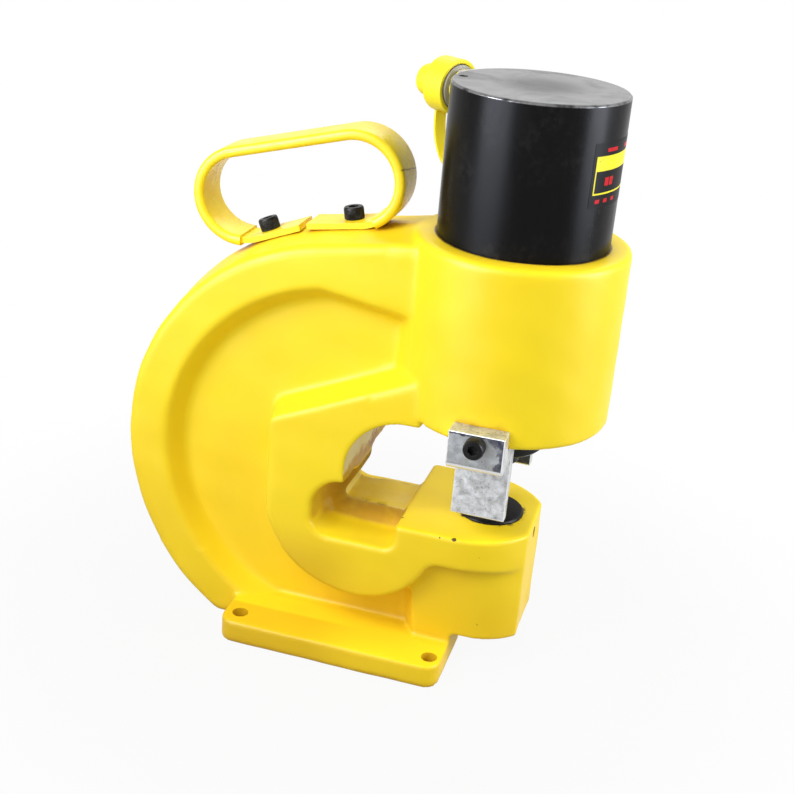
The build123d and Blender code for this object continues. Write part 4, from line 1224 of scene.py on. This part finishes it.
class PUNCH_OT_ram(bpy.types.Operator):
    """Finishes the ram with its seals, guide and return spring"""

    bl_idname = "punch.ram"
    bl_label = "Ram and Guide"

    def execute(self, context):
        steel = group("punch_steel")
        dress("piston_ram", oxide_finish("ram_oxide", 0.6, 0.26), 0.3 * MM)
        rubber = moulded_finish("seal_rubber", steel.rubber, steel.dull_rubber, 0.45, 1.2 * MM)
        for node in ("piston_seal", "rod_wiper", "coupler_seal"):
            dress(node, rubber, 0.2 * MM)
        plastic = moulded_finish("ring_plastic", steel.ring, steel.dull_ring, 0.4, 1.5 * MM)
        for node in ("piston_backup_ring", "piston_wear_ring"):
            dress(node, plastic, 0.2 * MM)
        dress("ram_guide_bush", bronze_finish(), 0.3 * MM)
        self.return_spring()
        return {"FINISHED"}

    def return_spring(self):
        """The return spring as a piece of its own, with its seams joined and smooth shading."""
        mesh = mesh_from(welded("return_spring"), "return_spring_wire")
        mesh.shade_smooth()
        wire = spring_finish()
        spring = new_piece("return_spring_wire", mesh, wire, "frame", ["return_spring"])
        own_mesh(spring)


class PUNCH_OT_tooling(bpy.types.Operator):
    """Finishes the punch and the die"""

    bl_idname = "punch.tooling"
    bl_label = "Punch and Die"

    def execute(self, context):
        black = oxide_finish("tool_oxide", 0.5, 0.30)
        for node in ("punch", "die"):
            dress(node, black, 0.3 * MM)
        return {"FINISHED"}


class PUNCH_OT_strippers(bpy.types.Operator):
    """Rounds the edges of the two strippers and finishes them"""

    bl_idname = "punch.strippers"
    bl_label = "Strippers"

    def execute(self, context):
        zinc = zinc_finish()
        for node in ("near_stripper", "far_stripper"):
            mesh = self.worn_mesh(node)
            piece = new_piece(node + "_plated", mesh, zinc, "frame", [node])
            piece.modifiers.new("Even shading", "WEIGHTED_NORMAL")
        return {"FINISHED"}

    def worn_mesh(self, node):
        """A stripper with rounded edges: the block's lower outer edge most of all."""
        shape = welded(node)
        bmesh.ops.dissolve_limit(shape, angle_limit=math.radians(0.4), verts=shape.verts, edges=shape.edges)
        hole_reach = 5.5 * MM
        near = 0.1 * MM
        sharp = math.radians(40)

        def on_face(point):
            return abs(abs(point.y) - STRIPPER_OUT) < near

        block_low = min(vert.co.z for vert in shape.verts if on_face(vert.co))

        def on_lower_edge(point):
            return on_face(point) and abs(point.z - block_low) < near

        def off_hole(point):
            return math.hypot(point.x - PUNCH_X, point.z - STRIPPER_SCREW_Z) > hole_reach

        lower = [edge for edge in shape.edges if all(on_lower_edge(vert.co) for vert in edge.verts)]
        self.round_off(shape, lower, 6.0 * MM, 8)
        corners = [edge for edge in shape.edges if edge.calc_face_angle(0) > sharp]
        corners = [edge for edge in corners if all(off_hole(vert.co) for vert in edge.verts)]
        self.round_off(shape, corners, 1.1 * MM, 3)
        return shaded(mesh_from(shape, node + "_plated"), 50)

    def round_off(self, shape, edges, radius, segments):
        """Rounds edges of a bmesh."""
        bmesh.ops.bevel(
            shape,
            geom=edges,
            offset=radius,
            segments=segments,
            profile=0.5,
            affect="EDGES",
            clamp_overlap=True,
        )


class PUNCH_OT_screws(bpy.types.Operator):
    """Makes the knurled socket screws and finishes the set screws"""

    bl_idname = "punch.screws"
    bl_label = "Screws"

    def execute(self, context):
        black = oxide_finish("screw_oxide", 0.45, 0.28)
        for node in ("die_set_screw", "punch_set_screw"):
            dress(node, black, 0.25 * MM)
        seat_y = STRIPPER_SCREW_HIGH.y - HEAD_HEIGHT
        seats = [
            (Vector((PUNCH_X, side * seat_y, STRIPPER_SCREW_Z)), Vector((0, side, 0))) for side in (-1, 1)
        ]
        self.screws("stripper_screws", seats, 30 * MM, black)
        self.screws("handle_screws", HANDLE_SCREWS, 20 * MM, black)
        return {"FINISHED"}

    def screws(self, node, seats, length, material):
        """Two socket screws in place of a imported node."""
        shape = bmesh.new()
        for turn, (seat, axis) in enumerate(seats):
            self.add_screw(shape, seat, axis, length, 0.4 + turn)
        mesh = closed_mesh(shape, node + "_knurled", 34)
        new_piece(node + "_knurled", mesh, material, "frame", [node])

    def add_screw(self, shape, seat, axis, length, twist):
        """A socket screw: threaded shank, knurled head and hexagon socket. Its rings are in millimetres."""
        angles = circle_angles(126)
        tooth = 0.32
        tip = -length / MM
        pitch = SCREW_PITCH / MM
        top = HEAD_HEIGHT / MM

        def ring(radii, height):
            return [(r * math.cos(a), r * math.sin(a), height) for r, a in zip(radii, angles)]

        def circle(radius, height):
            return ring([radius] * len(angles), height)

        def knurl(radius, height):
            return ring([radius - (0 if side % 3 else tooth) for side in range(len(angles))], height)

        def hexagon(flat, height):
            return ring([flat / math.cos(a % (math.pi / 3) - math.pi / 6) for a in angles], height)

        rings = [circle(3.1, tip)]
        for turn in range(int(length / SCREW_PITCH) - 1):
            height = tip + 0.8 + turn * pitch
            rings += [circle(3.45, height), circle(3.96, height + pitch / 2)]
        rings += [circle(3.9, 0), circle(6.1, 0), circle(6.45, 0.4), circle(6.45, 0.8)]
        rings += [knurl(6.5, 0.9), knurl(6.5, top - 1.5)]
        rings += [circle(6.4, top - 1.3), circle(6.35, top - 0.7), circle(5.8, top)]
        rings += [hexagon(3.25, top), hexagon(3.0, top - 0.3), hexagon(3.0, top - 4)]
        place = axis.to_track_quat("Z", "Y").to_matrix() @ Matrix.Rotation(twist, 3, "Z") * MM
        skin_rings(shape, [[seat + place @ Vector(point) for point in ring] for ring in rings])


class PUNCH_OT_handle(bpy.types.Operator):
    """Finishes the handle's bar and makes its grip sleeve"""

    bl_idname = "punch.handle"
    bl_label = "Handle"

    def execute(self, context):
        plastic = group("punch_plastic")
        dress("carry_handle", bar_finish(), 0.5 * MM)
        sleeve = moulded_finish(
            "grip_sleeve", plastic.sleeve, plastic.dull_sleeve, 0.24, 12 * MM, 0.24, sleeve_wrinkle
        )
        new_piece("grip_sleeve", self.sleeve_mesh(), sleeve, "frame", ["handle_grip"])
        return {"FINISHED"}

    def sleeve_mesh(self):
        """A hollow sleeve with round edges along the loop of the bar."""
        rise = math.atan2(FRONT_BEND.z - REAR_BEND.z, FRONT_BEND.x - REAR_BEND.x)
        crown = rise + math.pi / 2
        first, last = math.radians(-60.5), math.radians(272.5)
        straight = [step / 12 for step in range(1, 12)]
        bend = [step / 40 for step in range(41)]
        stations = [(FRONT_BEND, first + (crown - first) * share) for share in bend]
        stations += [(FRONT_BEND.lerp(REAR_BEND, share), crown) for share in straight]
        stations += [(REAR_BEND, crown + (last - crown) * share) for share in bend]

        def wall(section):
            rings = []
            for centre, angle in stations:
                out = Vector((math.cos(angle), 0, math.sin(angle)))
                middle = centre + out * BEND_MIDDLE_R
                rings.append([middle + Vector((0, width, 0)) + out * height for width, height in section])
            return rings

        outer = wall(rounded_section(half_width=15.4 * MM, half_height=3.5 * MM, radius=2.8 * MM))
        inner = wall(rounded_section(half_width=12.53 * MM, half_height=2.03 * MM, radius=0.02 * MM))
        shape = bmesh.new()
        skin_rings(shape, outer + inner[::-1], closed=True)
        return closed_mesh(shape, "grip_sleeve", 40)


class PUNCH_OT_coupler(bpy.types.Operator):
    """Finishes the hydraulic coupler and its valve"""

    bl_idname = "punch.coupler"
    bl_label = "Coupler"

    def execute(self, context):
        steel = coupler_finish()
        for node in ("coupler_adapter", "coupler_poppet"):
            dress(node, steel, 0.4 * MM)
        mesh = self.threaded_mesh()
        new_piece("coupler_threaded", mesh, steel, "frame", ["coupler_body"])
        dress("coupler_spring", spring_finish())
        return {"FINISHED"}

    def threaded_mesh(self):
        """The coupler's outline turned about its axis."""
        turn = COUPLER_AXIS.to_track_quat("Z", "Y").to_matrix() * MM
        angles = circle_angles(128)
        rings = []
        for radius, distance in self.threaded_profile():
            local = [Vector((radius * math.cos(a), radius * math.sin(a), distance)) for a in angles]
            rings.append([COUPLER_START + turn @ point for point in local])
        shape = bmesh.new()
        skin_rings(shape, rings, closed=True)
        return closed_mesh(shape, "coupler_threaded", 32)

    def threaded_profile(self):
        """The coupler's outline in millimetres: neck, collar, thread and tip, then the valve's bore."""
        profile = [(7.05, 61.4), (9.6, 61.4), (10, 61.8), (10, 65.4)]
        profile += [(13.5, 65.4), (13.9, 65.8), (13.9, 67.9)]
        pitch = 1.5
        for turn in range(5):
            start = 68.0 + turn * pitch
            profile += [(13.1, start), (13.95, start + 0.6), (13.95, start + 0.9)]
        profile += [(13.1, 75.6), (10.5, 75.9), (10.5, 79.4), (10, 79.9), (4.4, 79.9), (4, 79.5), (4, 77.4)]
        return profile + [(6.5, 77.4), (6.5, 65.7), (7.05, 65.7)]


class PUNCH_OT_cap(bpy.types.Operator):
    """Finishes the dust cap and makes its strap"""

    bl_idname = "punch.cap"
    bl_label = "Dust Cap"

    def execute(self, context):
        plastic = group("punch_plastic")
        soft = moulded_finish("cap_plastic", plastic.cap, plastic.dull_cap, 0.40, 2 * MM, 0.18)
        dress("dust_cap", soft, 1.0 * MM, 4)
        strap = new_piece("cap_tether", self.strap_mesh(), soft, None, ["cap_strap"])
        self.place(65.5, 0)
        self.place(78.5, 0)
        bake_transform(strap)
        return {"FINISHED"}

    def place(self, distance, height, side=0.0):
        """A point by its distance along the coupler's axis, its height and its side, in millimetres."""
        return COUPLER_START + (COUPLER_AXIS * distance + UP * height + COUPLER_SIDE * side) * MM

    def strap_mesh(self):
        """The tether: a ring on the coupler's neck and a band that hangs from it to the cap."""
        shape = bmesh.new()
        angles = circle_angles(64)
        rings = []
        for radius, distance in STRAP_RING:
            rings.append([self.place(distance, radius * math.cos(a), radius * math.sin(a)) for a in angles])
        skin_rings(shape, rings, closed=True)
        line = smooth_path([Vector(point) for point in STRAP_LINE], 8)
        section = rounded_section(half_width=5.0, half_height=0.8, radius=0.6, corner_steps=3)
        rings = []
        for here, point in enumerate(line):
            ahead = line[min(here + 1, len(line) - 1)] - line[max(here - 1, 0)]
            across = Vector((-ahead.y, ahead.x)).normalized()
            rings.append([self.place(*(point + across * thick), width) for width, thick in section])
        skin_rings(shape, rings)
        return closed_mesh(shape, "cap_tether", 45)


def floor_finish():
    """A pale floor that looks white, with the object's soft shadow around its foot."""
    stage = group("punch_stage")
    finish = Finish("studio_floor")
    finish.set(base_color=stage.floor, roughness=0.85, specular_ior_level=0.1)
    x, y, _ = finish.parts()
    fade = finish.step(finish.reach(x, y), GLOW_START, GLOW_END, stage.floor_glow, 1.0)
    glow = finish.node("ShaderNodeEmission")
    mix = finish.node("ShaderNodeMixShader")
    finish.feed(mix.inputs[0], finish.all_of(finish.seen_rays(), fade))
    finish.feed(mix.inputs[1], finish.shader.outputs[0])
    finish.feed(mix.inputs[2], glow.outputs[0])
    finish.feed(finish.nodes["Material Output"].inputs["Surface"], mix.outputs[0])
    return finish.material


def glow_finish(name, colour, strength):
    """A material that only glows."""
    material = bpy.data.materials.new(name)
    shading = Shading(material)
    glow = shading.node("ShaderNodeEmission")
    shading.feed(glow.inputs["Color"], colour)
    shading.feed(glow.inputs["Strength"], strength)
    shading.feed(shading.nodes["Material Output"].inputs["Surface"], glow.outputs[0])
    return material


def studio_world():
    """Even light from all around, and white to the eye."""
    world = bpy.data.worlds.new("studio")
    shading = Shading(world)
    background = shading.nodes["Background"]
    shading.feed(background.inputs["Color"], (1, 1, 1, 1))
    level = shading.step(shading.seen_rays(), 0, 1, group("punch_stage").ambient, 1.0)
    shading.feed(background.inputs["Strength"], level)
    bpy.context.scene.world = world


class PUNCH_OT_stage(bpy.types.Operator):
    """Lays the floor and sets the lights and the camera"""

    bl_idname = "punch.stage"
    bl_label = "Studio Stage"

    def execute(self, context):
        stage = group("punch_stage")
        self.floor()
        studio_world()
        for lamp in LAMPS:
            self.soft_box(context, stage, *lamp)
        for card in CARDS:
            self.sheen_card(stage, *card)
        self.camera(context, stage)
        context.scene.view_settings.view_transform = "Standard"
        return {"FINISHED"}

    def floor(self):
        """A wide round floor."""
        shape = bmesh.new()
        bmesh.ops.create_circle(shape, cap_ends=True, segments=64, radius=FLOOR_R)
        floor = placed(mesh_from(shape, "studio_floor"))
        floor.data.materials.append(floor_finish())
        floor.location.z = -FLOOR_GAP

    def soft_box(self, context, stage, name, azimuth, elevation, distance, width, height):
        """An area lamp that faces the object."""
        lamp = bpy.data.lights.new(name, "AREA")
        lamp.shape = "RECTANGLE"
        lamp.size = width
        lamp.size_y = height
        lamp.energy = getattr(stage, name)
        box = bpy.data.objects.new(name, lamp)
        context.scene.collection.objects.link(box)
        around = stage.camera_turn - math.pi / 2 + math.radians(azimuth)
        rise = math.radians(elevation)
        out = Vector((math.cos(rise) * math.cos(around), math.cos(rise) * math.sin(around), math.sin(rise)))
        box.location = LAMP_AIM + out * distance
        box.rotation_euler = (-out).to_track_quat("-Z", "Y").to_euler()

    def sheen_card(self, stage, name, azimuth, width):
        """A bright card that only shows in reflections."""
        shape = bmesh.new()
        bmesh.ops.create_grid(shape, x_segments=1, y_segments=1, size=0.5)
        card = placed(mesh_from(shape, name))
        facing = (Vector(stage.camera_place) - CARD_AIM) * Vector((1, 1, 0))
        out = Matrix.Rotation(math.radians(azimuth), 3, "Z") @ facing.normalized()
        card.location = CARD_AIM + out * CARD_DISTANCE
        card.rotation_euler = (-out).to_track_quat("Z", "Y").to_euler()
        card.scale = (width, CARD_HEIGHT, 1)
        card.data.materials.append(glow_finish(name, stage.card, stage.card_strength))
        card.visible_camera = False
        card.visible_diffuse = False
        card.visible_shadow = False

    def camera(self, context, stage):
        """A camera at the photographed angle."""
        turn = stage.camera_turn
        tilt = stage.camera_tilt
        roll = stage.camera_roll
        right = Vector((math.cos(turn), math.sin(turn), 0))
        up = Vector((-math.sin(tilt) * math.sin(turn), math.sin(tilt) * math.cos(turn), math.cos(tilt)))
        back = Vector((math.sin(turn) * math.cos(tilt), -math.cos(turn) * math.cos(tilt), math.sin(tilt)))
        across = math.cos(roll) * right + math.sin(roll) * up
        upright = -math.sin(roll) * right + math.cos(roll) * up
        lens = bpy.data.cameras.new("photo_camera")
        lens.sensor_fit = "HORIZONTAL"
        lens.sensor_width = 36
        lens.lens = stage.focal_pixels * lens.sensor_width / PHOTO_SIDE
        lens.clip_start = 0.01
        lens.clip_end = 50
        camera = bpy.data.objects.new("photo_camera", lens)
        context.scene.collection.objects.link(camera)
        axes = Matrix((across, upright, back)).transposed().to_4x4()
        camera.matrix_world = Matrix.Translation(Vector(stage.camera_place)) @ axes
        context.scene.camera = camera


OPERATORS = (
    PUNCH_OT_casting,
    PUNCH_OT_cylinder,
    PUNCH_OT_ram,
    PUNCH_OT_tooling,
    PUNCH_OT_strippers,
    PUNCH_OT_screws,
    PUNCH_OT_handle,
    PUNCH_OT_coupler,
    PUNCH_OT_cap,
    PUNCH_OT_stage,
)

SETTINGS = {
    "punch_casting": PunchCastingSettings,
    "punch_cylinder": PunchCylinderSettings,
    "punch_steel": PunchSteelSettings,
    "punch_plastic": PunchPlasticSettings,
    "punch_stage": PunchStageSettings,
}


class PUNCH_PT_pieces(bpy.types.Panel):
    """Lists the hole punch's pieces and settings"""

    bl_idname = "PUNCH_PT_pieces"
    bl_label = "Hole Punch"
    bl_space_type = "VIEW_3D"
    bl_region_type = "UI"
    bl_category = "Hole Punch"

    def draw(self, context):
        for operator in OPERATORS:
            self.layout.operator(operator.bl_idname)
        for name, kind in SETTINGS.items():
            box = self.layout.box()
            for key in kind.__annotations__:
                box.prop(getattr(context.scene, name), key)


def register():
    for kind in (*SETTINGS.values(), *OPERATORS, PUNCH_PT_pieces):
        bpy.utils.register_class(kind)
    for name, kind in SETTINGS.items():
        setattr(bpy.types.Scene, name, PointerProperty(type=kind))


def unregister():
    for name in SETTINGS:
        delattr(bpy.types.Scene, name)
    for kind in (PUNCH_PT_pieces, *reversed(OPERATORS), *reversed(tuple(SETTINGS.values()))):
        bpy.utils.unregister_class(kind)


def main():
    register()
    for operator in OPERATORS:
        area, name = operator.bl_idname.split(".")
        getattr(getattr(bpy.ops, area), name)()


if __name__ == "__main__":
    main()
